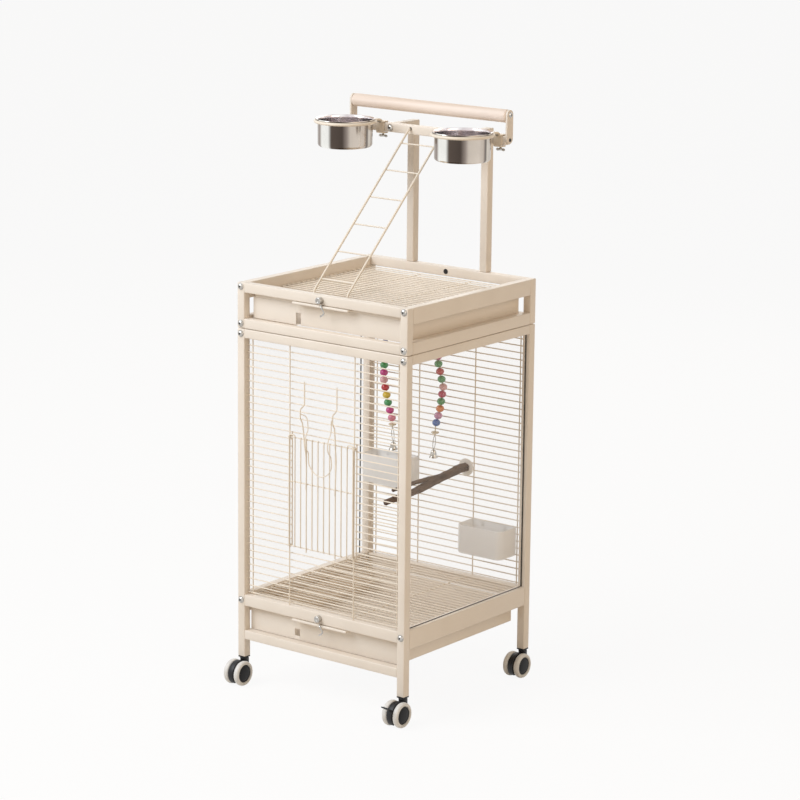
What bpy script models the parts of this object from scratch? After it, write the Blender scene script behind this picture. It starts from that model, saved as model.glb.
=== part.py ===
"""Parrot cage on casters: a welded square-tube cage body with a lift-up wire door,
a tray module on top of it and a play stand with dowel, ladder and two steel cups.

Lengths are in metres and +Z is up. Inside the file y = 0 is the front face of the
front posts, +Y runs to the back and z = 0 is the floor the casters stand on. One
empty moves everything so that the origin lies under the middle of the object.
"""
import math

import bmesh
import bpy
from mathutils import Matrix, Vector

# Overall sizes of the cage body
WIDTH = 0.450
DEPTH = 0.444
TUBE = 0.019
GAP = 0.0003
EDGE = 0.0012

HALF = WIDTH / 2
INNER = HALF - TUBE
BACK = DEPTH - TUBE

# Heights of the welded body frames
POST_BOTTOM = 0.060
LOWEST_RAIL = (0.100, 0.120)
PANEL_RAIL = (0.1745, 0.199)
BODY_RAIL = (0.7586, 0.7786)
SIDE_RAIL_BOTTOM = (0.160, 0.201)

# Heights of the tray module
MODULE_RAIL = (0.7790, 0.8000)
MODULE_SIDE_RAIL = (0.7790, 0.8045)
MODULE_PLATE = (0.8420, 0.8760)
TOP_RAIL = (0.8555, 0.8760)

# Wire lattices
WIRE = 0.0027
PITCH = 0.0154
WELD = 0.0006
STEP = WIRE - WELD
FRONT_WIRE_Y = 0.0120
BACK_WIRE_Y = DEPTH - 0.0095
OUTER_WIRE_X = 0.194
BACK_WIRE_X = 0.0757
GRILLE_CROSS_X = (-0.068, 0.068)

# Door and its two guide wires
GUIDE_X = 0.0862
GUIDE_Y = 0.0060
DOOR_BOTTOM = 0.330
DOOR_MIDDLE = 0.475
DOOR_TOP = 0.566
DOOR_BARS = 12
DOOR_BAR_PITCH = 0.0155
ROUND_WIRE = 0.0028
ARM_BAR = 3
ARM_LEAN_Z = 0.640
ARM_TOP = 0.691
ARM_X = 0.0447
ARM_FRONT_Y = -0.0080
ARM_TAIL_Y = -0.0035

# Trays
TRAY_WALL = 0.0012
TRAY_FRONT_Y = TUBE + GAP
TRAY_BACK_Y = BACK - 0.026
TRAY_HALF = 0.1945
TRAY_RIM_HALF = 0.2047
TRAY_RIM = 0.0015
RUNNER = 0.0020
RUNNER_REACH = 0.010
LIP_REACH = 0.007
LIP = 0.0015
RUNNER_START_Y = 0.0240
TRAY_LIP_HALF = 0.0735
TRAY_LIP_Y = -0.0040
TRAY_LIP_HEIGHT = 0.0045

# Hook latches
STUD_RADIUS = 0.0065
STUD_LENGTH = 0.0080
LATCH_PIN_X = 0.006
LATCH_PIN_DROP = 0.0033
LATCH_THICK = 0.0016
LATCH_Y = -0.0065

# Play stand
STAND_X = 0.0985
STAND_TOP = 1.185
CROSS_Y = 0.362
CROSS_HALF = 0.204
BRACKET_THICK = 0.0045
BRACKET_WIDTH = 0.022
BRACKET_BOTTOM = 1.164
DOWEL_Z = 1.226
DOWEL_RADIUS = 0.014

# Steel cups and their clamp rings
CUP_X = 0.155
CUP_Y = 0.2695
RING_Z = 1.1930
RING_RADIUS = 0.0635
RING_WIRE = 0.0035
CUP_RADIUS = 0.0590
CUP_HEIGHT = 0.058
CUP_WALL = 0.0010
CLAMP_SHIFT = 0.030
CLAMP_WIDTH = 0.020
CLAMP_PLATE = 0.0026
CLAMP_TIE = 0.0215

# Ladder
LADDER_X = 0.044
LADDER_ROD = 0.0020
LADDER_FOOT_Y = 0.032
LADDER_BEND_Z = 0.876
LADDER_TOP_Z = 1.178
LADDER_RUNGS = 6
LADDER_END_GAP = 0.0009

# Casters
CASTER_TRAIL = 0.020
WHEEL_RADIUS = 0.027
WHEEL_HALF = 0.0205
HOOD_RADIUS = 0.0262
HOOD_HALF = 0.0066
AXLE_RADIUS = 0.0030
LEVER_ROOT = 0.0270
LEVER_END = 0.0475
LEVER_HALF = 0.0013
LEVER_TILT = math.radians(150)

# Things hung inside
BEAD_RADIUS = 0.0083
BEAD_STEP = 0.0165
BEAD_COUNT = 13
STRING_PATHS = {
    "right": [(0.746, -0.0200), (0.661, -0.0120), (0.612, 0.0016), (0.560, -0.0067), (0.526, -0.0171), (0.440, -0.0253)],
    "left": [(0.746, -0.1580), (0.640, -0.1615), (0.606, -0.1622), (0.5555, -0.1500), (0.520, -0.1380), (0.440, -0.1320)],
}
FEED_CUP = (0.095, 0.062, 0.064)
STRING_CLEAR = 0.0135
STRING_TAIL = 0.046

LEVER_TIP_Y = TUBE / 2 - CASTER_TRAIL + LEVER_END * math.cos(LEVER_TILT) - LEVER_HALF * math.sin(LEVER_TILT)
CENTRE_Y = (LEVER_TIP_Y + DEPTH) / 2

CREAM = (0.80, 0.74, 0.63)
STEEL = (0.62, 0.61, 0.60)
ZINC = (0.66, 0.66, 0.66)
BLACK = (0.015, 0.015, 0.016)


def empty_scene():
    """Remove whatever objects the scene holds."""
    for obj in list(bpy.data.objects):
        bpy.data.objects.remove(obj, do_unlink=True)


empty_scene()
cage = bpy.data.collections.new("parrot_cage")
bpy.context.scene.collection.children.link(cage)
root = bpy.data.objects.new("cage_origin", None)
root.location = (0.0, -CENTRE_Y, 0.0)
cage.objects.link(root)


def raw(bm, name="piece"):
    """Turn a bmesh into an object of the cage collection."""
    mesh = bpy.data.meshes.new(name)
    bm.to_mesh(mesh)
    bm.free()
    obj = bpy.data.objects.new(name, mesh)
    cage.objects.link(obj)
    return obj


def baked(obj):
    """Replace an object by the mesh its modifiers or curve settings give, welded."""
    graph = bpy.context.evaluated_depsgraph_get()
    mesh = bpy.data.meshes.new_from_object(obj.evaluated_get(graph))
    bm = bmesh.new()
    bm.from_mesh(mesh)
    bmesh.ops.remove_doubles(bm, verts=bm.verts, dist=0.00001)
    bmesh.ops.recalc_face_normals(bm, faces=bm.faces)
    bpy.data.objects.remove(obj, do_unlink=True)
    return raw(bm)


def boxes(spans):
    """Blocks given by their (x0, x1, y0, y1, z0, z1), none touching another."""
    bm = bmesh.new()
    for x0, x1, y0, y1, z0, z1 in spans:
        size = Vector((x1 - x0, y1 - y0, z1 - z0))
        middle = Vector((x0 + x1, y0 + y1, z0 + z1)) / 2
        bmesh.ops.create_cube(bm, size=1.0, matrix=Matrix.Translation(middle) @ Matrix.Diagonal((*size, 1.0)))
    return raw(bm)


def slab(outline, start, end, axis, holes=()):
    """Flat outline with holes, extruded from start to end along X, Y or Z.

    The outline is given as (y, z) for X, (x, z) for Y and (x, y) for Z.
    """
    curve = bpy.data.curves.new("outline", "CURVE")
    curve.dimensions = "2D"
    curve.fill_mode = "BOTH"
    curve.extrude = (end - start) / 2
    for loop in (outline, *holes):
        spline = curve.splines.new("POLY")
        spline.points.add(len(loop) - 1)
        for point, (a, b) in zip(spline.points, loop):
            point.co = (a, b, 0.0, 1.0)
        spline.use_cyclic_u = True
    obj = bpy.data.objects.new("outline", curve)
    cage.objects.link(obj)
    obj = baked(obj)
    middle = (start + end) / 2
    turn = {
        "X": Matrix(((0, 0, 1, middle), (1, 0, 0, 0), (0, 1, 0, 0), (0, 0, 0, 1))),
        "Y": Matrix(((1, 0, 0, 0), (0, 0, -1, middle), (0, 1, 0, 0), (0, 0, 0, 1))),
        "Z": Matrix.Translation((0, 0, middle)),
    }[axis]
    obj.data.transform(turn)
    return obj


def rod(points, radius, sides=6):
    """Round wire along a run of points with closed ends."""
    curve = bpy.data.curves.new("rod", "CURVE")
    curve.dimensions = "3D"
    curve.bevel_depth = radius
    curve.bevel_resolution = (sides - 4) // 2
    curve.use_fill_caps = True
    spline = curve.splines.new("POLY")
    spline.points.add(len(points) - 1)
    for point, where in zip(spline.points, points):
        point.co = (*where, 1.0)
    obj = bpy.data.objects.new("rod", curve)
    cage.objects.link(obj)
    return baked(obj)


def turned(profile, sides, axis="Z"):
    """Shape turned round an axis; the profile holds (radius, height), top to bottom."""
    bm = bmesh.new()
    rings = []
    for radius, height in profile:
        if radius < 1e-6:
            rings.append([bm.verts.new((0.0, 0.0, height))])
            continue
        ring = []
        for k in range(sides):
            angle = 2 * math.pi * k / sides
            ring.append(bm.verts.new((radius * math.cos(angle), radius * math.sin(angle), height)))
        rings.append(ring)
    for upper, lower in zip(rings, rings[1:]):
        for k in range(sides):
            n = (k + 1) % sides
            if len(upper) == 1:
                bm.faces.new((upper[0], lower[k], lower[n]))
            elif len(lower) == 1:
                bm.faces.new((upper[k], lower[0], upper[n]))
            else:
                bm.faces.new((upper[k], lower[k], lower[n], upper[n]))
    if len(rings[0]) > 1 and len(rings[-1]) > 1:
        upper, lower = rings[-1], rings[0]
        for k in range(sides):
            n = (k + 1) % sides
            bm.faces.new((upper[k], lower[k], lower[n], upper[n]))
    bmesh.ops.recalc_face_normals(bm, faces=bm.faces)
    obj = raw(bm)
    if axis == "X":
        obj.data.transform(Matrix.Rotation(math.pi / 2, 4, "Y"))
    if axis == "Y":
        obj.data.transform(Matrix.Rotation(math.pi / 2, 4, "X"))
    return obj


def moved(obj, offset):
    """Shift a mesh."""
    obj.data.transform(Matrix.Translation(offset))
    return obj


def fused(base, *others, operation="UNION"):
    """Join others into base, or cut them from it, by exact Booleans."""
    for other in others:
        step = base.modifiers.new("step", "BOOLEAN")
        step.operation = operation
        step.solver = "EXACT"
        step.object = other
        base = baked(base)
        bpy.data.objects.remove(other, do_unlink=True)
    return base


def eased(obj, width=EDGE, segments=1):
    """Round the edges of a block or frame a little."""
    bevel = obj.modifiers.new("edges", "BEVEL")
    bevel.width = width
    bevel.segments = segments
    bevel.limit_method = "ANGLE"
    bevel.angle_limit = math.radians(40)
    return baked(obj)


def part(obj, name, colour, roughness, metallic=0.0, pivot=(0.0, 0.0, 0.0), alpha=1.0):
    """Name a finished piece, put its origin at its pivot and give it its material."""
    obj.data.transform(Matrix.Translation(-Vector(pivot)))
    obj.name = name
    obj.data.name = name
    obj.location = pivot
    obj.parent = root
    for face in obj.data.polygons:
        face.use_smooth = True
    obj.data.set_sharp_from_angle(angle=math.radians(35))
    material = bpy.data.materials.new(name + "_material")
    material.use_nodes = True
    shader = material.node_tree.nodes["Principled BSDF"]
    shader.inputs["Base Color"].default_value = (*colour, 1.0)
    shader.inputs["Roughness"].default_value = roughness
    shader.inputs["Metallic"].default_value = metallic
    shader.inputs["Alpha"].default_value = alpha
    obj.data.materials.clear()
    obj.data.materials.append(material)
    return obj


def rectangle(x0, x1, z0, z1):
    """Corner points of a rectangle."""
    return [(x0, z0), (x1, z0), (x1, z1), (x0, z1)]


def circle(centre, radius, sides, start=0.0, end=360.0):
    """Points round a circle or, when the end comes before a full turn, along an arc."""
    full = end - start >= 360.0
    count = sides if full else sides + 1
    points = []
    for k in range(count):
        angle = math.radians(start + (end - start) * k / sides)
        points.append((centre[0] + radius * math.cos(angle), centre[1] + radius * math.sin(angle)))
    return points


# Welded frames of the cage body
def body_frame(front):
    """Two posts and three rails as one flat frame, at the front or the back."""
    outline = [
        (-HALF, POST_BOTTOM), (-INNER, POST_BOTTOM), (-INNER, LOWEST_RAIL[0]),
        (INNER, LOWEST_RAIL[0]), (INNER, POST_BOTTOM), (HALF, POST_BOTTOM),
        (HALF, BODY_RAIL[1]), (-HALF, BODY_RAIL[1]),
    ]
    drawer_opening = rectangle(-INNER, INNER, LOWEST_RAIL[1], PANEL_RAIL[0])
    panel_opening = rectangle(-INNER, INNER, PANEL_RAIL[1], BODY_RAIL[0])
    start = 0.0 if front else BACK
    frame = eased(slab(outline, start, start + TUBE, "Y", (drawer_opening, panel_opening)))
    if front:
        half = WIRE / 2
        guides = boxes([
            (side * GUIDE_X - half, side * GUIDE_X + half, GUIDE_Y - half, GUIDE_Y + half,
             PANEL_RAIL[1] - 0.002, BODY_RAIL[0] + 0.002)
            for side in (-1, 1)
        ])
        frame = fused(frame, guides, stud(sum(PANEL_RAIL) / 2))
    return frame


def stud(height):
    """Round latch stud standing out from the middle of a front rail."""
    profile = [
        (0.0, 0.0), (STUD_RADIUS * 0.85, 0.0), (STUD_RADIUS, 0.0012),
        (STUD_RADIUS, STUD_LENGTH + 0.002), (0.0, STUD_LENGTH + 0.002),
    ]
    head = turned(profile, 14)
    head.data.transform(Matrix.Rotation(-math.pi / 2, 4, "X"))
    return moved(head, (0.0, -STUD_LENGTH, height))


part(body_frame(True), "front_frame", CREAM, 0.42)
part(body_frame(False), "rear_frame", CREAM, 0.42)


# Tray module frames
def module_frame(front):
    """Flat frame that holds the opening of the upper tray."""
    outline = rectangle(-HALF, HALF, MODULE_RAIL[0], TOP_RAIL[1])
    opening = rectangle(-INNER, INNER, MODULE_RAIL[1], TOP_RAIL[0])
    start = 0.0 if front else BACK
    frame = eased(slab(outline, start, start + TUBE, "Y", (opening,)))
    if front:
        return fused(frame, stud(sum(TOP_RAIL) / 2))
    hole = turned([(0.0, 0.0), (0.0038, 0.0), (0.0038, 0.010), (0.0, 0.010)], 12)
    hole.data.transform(Matrix.Rotation(-math.pi / 2, 4, "X"))
    return fused(frame, moved(hole, (0.0, BACK - 0.005, sum(TOP_RAIL) / 2)), operation="DIFFERENCE")


part(module_frame(True), "module_front_frame", CREAM, 0.42)
part(module_frame(False), "module_rear_frame", CREAM, 0.42)


# Side rails and plates
def side_bar(side, heights, strips=()):
    """Tube between the front and back frames, with strips along its inner face."""
    x0, x1 = sorted((side * INNER, side * HALF))
    bar = eased(boxes([(x0, x1, TUBE + GAP, BACK - GAP, heights[0], heights[1])]))
    for reach, z0, z1 in strips:
        a, b = sorted((side * (INNER + 0.002), side * (INNER - reach)))
        bar = fused(bar, boxes([(a, b, RUNNER_START_Y, BACK - 0.006, z0, z1)]))
    return bar


DRAWER_RIM_Z = 0.1718
UPPER_RIM_Z = 0.8443
FLOOR_Z = 0.1958
TOP_GRILLE_Z = 0.8488
floor_strips = (
    (RUNNER_REACH, DRAWER_RIM_Z - GAP - RUNNER, DRAWER_RIM_Z - GAP),
    (LIP_REACH, FLOOR_Z - GAP - LIP, FLOOR_Z - GAP),
)
top_strips = (
    (RUNNER_REACH, UPPER_RIM_Z - GAP - RUNNER, UPPER_RIM_Z - GAP),
    (LIP_REACH, TOP_GRILLE_Z - GAP - LIP, TOP_GRILLE_Z - GAP),
)
for side, tag in ((-1, "left"), (1, "right")):
    part(side_bar(side, SIDE_RAIL_BOTTOM, floor_strips), "side_rail_bottom_" + tag, CREAM, 0.42)
    part(side_bar(side, BODY_RAIL), "side_rail_top_" + tag, CREAM, 0.42)
    part(side_bar(side, MODULE_SIDE_RAIL), "module_side_rail_" + tag, CREAM, 0.42)
    part(side_bar(side, MODULE_PLATE, top_strips), "module_side_plate_" + tag, CREAM, 0.42)


# Wire lattices
def crossed(across, along):
    """Two layers of square wires that bite into each other where they cross."""
    return fused(boxes(across), boxes(along))


half = WIRE / 2
wire_heights = [BODY_RAIL[0] - PITCH * k for k in range(1, 37)]
reach = INNER - GAP


def front_lattice():
    """Front wire panel with the door opening left free."""
    rows = []
    opening = []
    for z in wire_heights:
        y0, y1 = FRONT_WIRE_Y - half, FRONT_WIRE_Y + half
        if DOOR_BOTTOM < z < DOOR_TOP:
            opening.append(z)
            for side in (-1, 1):
                a, b = sorted((side * reach, side * (GUIDE_X - half)))
                rows.append((a, b, y0, y1, z - half, z + half))
        else:
            rows.append((-reach, reach, y0, y1, z - half, z + half))
    y0 = FRONT_WIRE_Y + half - WELD
    bottom, top = min(opening) - PITCH, max(opening) + PITCH
    columns = []
    for side in (-1, 1):
        x = side * OUTER_WIRE_X
        columns.append((x - half, x + half, y0, y0 + WIRE, PANEL_RAIL[1] + GAP, BODY_RAIL[0] - GAP))
        x = side * GUIDE_X
        columns.append((x - half, x + half, y0, y0 + WIRE, bottom - half, top + half))
    return crossed(rows, columns)


def back_lattice():
    """Back wire panel."""
    y0, y1 = BACK_WIRE_Y - half, BACK_WIRE_Y + half
    rows = [(-reach, reach, y0, y1, z - half, z + half) for z in wire_heights]
    columns = [
        (x - half, x + half, y1 - WELD, y1 - WELD + WIRE, PANEL_RAIL[1] + GAP, BODY_RAIL[0] - GAP)
        for x in (-OUTER_WIRE_X, -BACK_WIRE_X, BACK_WIRE_X, OUTER_WIRE_X)
    ]
    return crossed(rows, columns)


def flat_grille(z, y_start):
    """Level wire grille: fine wires from side to side between the wires of its border."""
    y_end = BACK - 0.0022
    count = int((y_end - y_start) / PITCH)
    pitch = (y_end - y_start) / count
    spans = [-reach + half, *GRILLE_CROSS_X, reach - half]
    holes = []
    for k in range(count):
        y0 = y_start + k * pitch + half
        for a, b in zip(spans, spans[1:]):
            holes.append(rectangle(a + half, b - half, y0, y0 + pitch - WIRE))
    return slab(rectangle(-reach, reach, y_start - half, y_end + half), z, z + WIRE, "Z", holes)


part(front_lattice(), "front_wire_panel", CREAM, 0.4)
part(back_lattice(), "back_wire_panel", CREAM, 0.4)
part(flat_grille(FLOOR_Z, TUBE + 0.0030), "floor_grille", CREAM, 0.4)
part(flat_grille(TOP_GRILLE_Z, TUBE + 0.0050), "top_grille", CREAM, 0.4)


# Clear side panels
for side, tag in ((-1, "left"), (1, "right")):
    x = side * (HALF - TUBE / 2)
    panel = boxes([
        (x - 0.001, x + 0.001, TUBE + GAP, BACK - GAP, SIDE_RAIL_BOTTOM[1] + GAP, BODY_RAIL[0] - GAP)
    ])
    part(panel, "clear_panel_" + tag, (0.92, 0.93, 0.92), 0.08, alpha=0.25)


# Door with its two arms and spring wire
def door_bar_x(index):
    """Position across the door of one of its upright wires."""
    return (index - (DOOR_BARS - 1) / 2) * DOOR_BAR_PITCH


def guide_eye(side, height):
    """Ring of wire round a guide wire at a corner of the door."""
    bm = bmesh.new()
    sides, across = 8, 5
    grid = []
    for k in range(sides):
        a = 2 * math.pi * k / sides
        loop = []
        for n in range(across):
            b = 2 * math.pi * n / across
            r = 0.00325 + 0.0009 * math.cos(b)
            loop.append(bm.verts.new((r * math.cos(a), r * math.sin(a), 0.0009 * math.sin(b))))
        grid.append(loop)
    for k in range(sides):
        for n in range(across):
            k2, n2 = (k + 1) % sides, (n + 1) % across
            bm.faces.new((grid[k][n], grid[k2][n], grid[k2][n2], grid[k][n2]))
    bmesh.ops.recalc_face_normals(bm, faces=bm.faces)
    return moved(raw(bm), (side * GUIDE_X, GUIDE_Y, height))


def door():
    """Lift-up door: bars, three cross wires, corner eyes, arms and spring wire."""
    bar_y = GUIDE_Y - half - 0.0004 - half
    bars = []
    for k in range(DOOR_BARS):
        x = door_bar_x(k)
        foot = 0.007 if k in (ARM_BAR, DOOR_BARS - 1 - ARM_BAR) else 0.0
        head = -0.010 if k in (0, DOOR_BARS - 1) else half
        bars.append((x - half, x + half, bar_y - half, bar_y + half,
                     DOOR_BOTTOM - half - foot, DOOR_TOP + head))
    cross_y = bar_y + STEP
    end = GUIDE_X - 0.0027
    crosses = [
        (-end, end, cross_y - half, cross_y + half, z - half, z + half)
        for z in (DOOR_BOTTOM, DOOR_MIDDLE, DOOR_TOP - 0.010)
    ]
    body = crossed(bars, crosses)
    eyes = [guide_eye(side, z) for side in (-1, 1) for z in (DOOR_BOTTOM, DOOR_TOP - 0.010)]
    arch = []
    for side in (-1, 1):
        arch.append((side * door_bar_x(DOOR_BARS - 1), bar_y, DOOR_TOP - 0.0105))
    top = [arch[0], (arch[0][0] + 0.004, bar_y, DOOR_TOP - 0.001), (arch[0][0] + 0.012, bar_y, DOOR_TOP + 0.001),
           (arch[1][0] - 0.012, bar_y, DOOR_TOP + 0.001), (arch[1][0] - 0.004, bar_y, DOOR_TOP - 0.001), arch[1]]
    parts = [rod(top, ROUND_WIRE / 2 * 0.9)]
    for side in (-1, 1):
        x = side * door_bar_x(DOOR_BARS - 1 - ARM_BAR)
        parts.append(rod([
            (x, bar_y - 0.0012, DOOR_MIDDLE - 0.012), (x, bar_y - 0.0018, DOOR_MIDDLE + 0.010),
            (side * ARM_X, ARM_FRONT_Y, ARM_LEAN_Z), (side * (ARM_X + 0.001), ARM_TAIL_Y, ARM_LEAN_Z + 0.006),
            (side * (ARM_X + 0.001), ARM_TAIL_Y, ARM_TOP),
        ], ROUND_WIRE / 2))
    parts.append(spring_wire(bar_y))
    return fused(body, *eyes, *parts)


def spring_wire(bar_y):
    """U-shaped spring wire hung between the arms, bent forward halfway."""
    def leg(side):
        return [
            (side * (ARM_X - 0.0022), -0.0072, 0.617),
            (side * 0.0330, -0.0095, 0.624),
            (side * 0.0275, -0.0110, 0.600),
            (side * 0.0270, -0.0150, 0.552),
            (side * 0.0190, -0.0080, 0.505),
            (side * 0.0060, bar_y - 0.0018, DOOR_MIDDLE + 0.001),
        ]
    return rod(leg(-1) + leg(1)[::-1], 0.0011)


part(door(), "door", CREAM, 0.38, pivot=(0.0, GUIDE_Y, DOOR_BOTTOM))


# Trays
def tray(floor_z, rim_z, face_top, notch):
    """Open tray whose rim slides on the runners, with a flat face and a pull lip."""
    rim_top = rim_z + TRAY_RIM
    outer = eased(boxes([(-TRAY_HALF, TRAY_HALF, TRAY_FRONT_Y + 0.0005, TRAY_BACK_Y, floor_z, rim_top + 0.01)]), 0.004)
    above = boxes([(-HALF, HALF, 0.0, DEPTH, rim_top, rim_top + 0.02)])
    outer = fused(outer, above, operation="DIFFERENCE")
    rim = boxes([(-TRAY_RIM_HALF, TRAY_RIM_HALF, RUNNER_START_Y + GAP, TRAY_BACK_Y + 0.004, rim_z, rim_top)])
    face = slab(rounded_face(floor_z, face_top), TRAY_FRONT_Y, TRAY_FRONT_Y + 0.0016, "Y")
    lip = eased(boxes([(-TRAY_LIP_HALF, TRAY_LIP_HALF, TRAY_LIP_Y, TRAY_FRONT_Y + 0.001,
                        face_top - TRAY_LIP_HEIGHT, face_top)]), 0.0015)
    body = fused(outer, rim, face, lip)
    inside = boxes([(-TRAY_HALF + TRAY_WALL, TRAY_HALF - TRAY_WALL, TRAY_FRONT_Y + 0.0014,
                     TRAY_BACK_Y - TRAY_WALL, floor_z + TRAY_WALL, face_top + 0.01)])
    cut = boxes([(notch[0], notch[1], TRAY_FRONT_Y - 0.002, TRAY_FRONT_Y + 0.004, notch[2], notch[3])])
    return fused(body, eased(inside, 0.003), cut, operation="DIFFERENCE")


def rounded_face(z0, z1):
    """Outline of a tray face with rounded lower corners."""
    radius = 0.006
    left = circle((-TRAY_RIM_HALF + radius, z0 + radius), radius, 3, 180, 270)
    right = circle((TRAY_RIM_HALF - radius, z0 + radius), radius, 3, 270, 360)
    return left + right + [(TRAY_RIM_HALF, z1), (-TRAY_RIM_HALF, z1)]


UPPER_TRAY_FLOOR = 0.8030
DRAWER_FLOOR = 0.1215
upper = tray(UPPER_TRAY_FLOOR, UPPER_RIM_Z, TOP_RAIL[0] - 0.0010,
             (-0.0814, -0.0680, UPPER_TRAY_FLOOR - 0.01, UPPER_TRAY_FLOOR + 0.0235))
part(upper, "upper_tray", (0.82, 0.77, 0.68), 0.45)
lower = tray(DRAWER_FLOOR, DRAWER_RIM_Z, PANEL_RAIL[0] - 0.0010,
             (-0.0821, -0.0684, DRAWER_FLOOR + 0.0075, DRAWER_FLOOR + 0.0230))
part(lower, "lower_drawer", (0.82, 0.77, 0.68), 0.45)


# Hook latches on the tray faces
def latch(rail):
    """Bent hook on a pin; its upper end lies just under the stud of the rail."""
    pin_z = rail[0] - LATCH_PIN_DROP
    spine = [(0.0030, pin_z + 0.0070), (0.0045, pin_z + 0.0035), (LATCH_PIN_X, pin_z),
             (0.0075, pin_z - 0.0085), (0.0125, pin_z - 0.0140), (0.0090, pin_z - 0.0200)]
    hook = slab(thick_line(spine, 0.0017), LATCH_Y, LATCH_Y + LATCH_THICK, "Y")
    length = TRAY_LIP_Y - GAP - LATCH_Y
    pin = turned([(0.0, 0.0), (0.0016, 0.0), (0.0016, length), (0.0, length)], 8)
    pin.data.transform(Matrix.Rotation(-math.pi / 2, 4, "X"))
    hook = fused(hook, moved(pin, (LATCH_PIN_X, LATCH_Y, pin_z)))
    return hook, (LATCH_PIN_X, LATCH_Y, pin_z)


def thick_line(points, half_width):
    """Outline of a bent strip that keeps the same width along its middle line."""
    left, right = [], []
    for k, (x, z) in enumerate(points):
        before = Vector(points[max(k - 1, 0)])
        after = Vector(points[min(k + 1, len(points) - 1)])
        along = (after - before).normalized()
        left.append((x - along.y * half_width, z + along.x * half_width))
        right.append((x + along.y * half_width, z - along.x * half_width))
    return left + right[::-1]


for rail, name in ((TOP_RAIL, "upper_tray_latch"), (PANEL_RAIL, "lower_drawer_latch")):
    hook, pivot = latch(rail)
    part(hook, name, ZINC, 0.3, 0.9, pivot)


# Play stand
for side, tag in ((-1, "left"), (1, "right")):
    x = side * STAND_X
    arm_front = CROSS_Y + TUBE / 2 + GAP
    outline = [
        (BACK, TOP_RAIL[1] + GAP), (DEPTH, TOP_RAIL[1] + GAP), (DEPTH, STAND_TOP),
        (arm_front, STAND_TOP), (arm_front, STAND_TOP - TUBE), (BACK, STAND_TOP - TUBE),
    ]
    part(eased(slab(outline, x - TUBE / 2, x + TUBE / 2, "X")), "stand_post_" + tag, CREAM, 0.42)

cross_z = STAND_TOP - TUBE / 2
cross = boxes([(-CROSS_HALF, CROSS_HALF, CROSS_Y - TUBE / 2, CROSS_Y + TUBE / 2, STAND_TOP - TUBE, STAND_TOP)])
part(eased(cross), "cross_tube", CREAM, 0.42)

for side, tag in ((-1, "left"), (1, "right")):
    r = BRACKET_WIDTH / 2
    low = circle((CROSS_Y, BRACKET_BOTTOM + r), r, 8, 180, 360)
    high = circle((CROSS_Y, DOWEL_Z + 0.0015), r, 8, 0, 180)
    x0, x1 = sorted((side * (CROSS_HALF + GAP), side * (CROSS_HALF + GAP + BRACKET_THICK)))
    part(eased(slab(low + high, x0, x1, "X"), 0.0008), "dowel_bracket_" + tag, CREAM, 0.42)

profile = [
    (0.0, CROSS_HALF), (DOWEL_RADIUS - 0.004, CROSS_HALF), (DOWEL_RADIUS - 0.001, CROSS_HALF - 0.0015),
    (DOWEL_RADIUS, CROSS_HALF - 0.004), (DOWEL_RADIUS, -CROSS_HALF + 0.004),
    (DOWEL_RADIUS - 0.001, -CROSS_HALF + 0.0015), (DOWEL_RADIUS - 0.004, -CROSS_HALF), (0.0, -CROSS_HALF),
]
dowel = moved(turned(profile, 16, "X"), (0.0, CROSS_Y, DOWEL_Z))
part(dowel, "dowel", (0.80, 0.63, 0.50), 0.6, pivot=(0.0, CROSS_Y, DOWEL_Z))


# Clamp rings, screws and steel cups
def ring_band(radius, wire, around, across):
    """Round wire bent into a closed ring."""
    bm = bmesh.new()
    grid = []
    for k in range(around):
        a = 2 * math.pi * k / around
        loop = []
        for n in range(across):
            b = 2 * math.pi * (n + 0.5) / across
            r = radius + wire * math.cos(b)
            loop.append(bm.verts.new((r * math.cos(a), r * math.sin(a), wire * math.sin(b))))
        grid.append(loop)
    for k in range(around):
        for n in range(across):
            k2, n2 = (k + 1) % around, (n + 1) % across
            bm.faces.new((grid[k][n], grid[k2][n], grid[k2][n2], grid[k][n2]))
    bmesh.ops.recalc_face_normals(bm, faces=bm.faces)
    return raw(bm)


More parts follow.
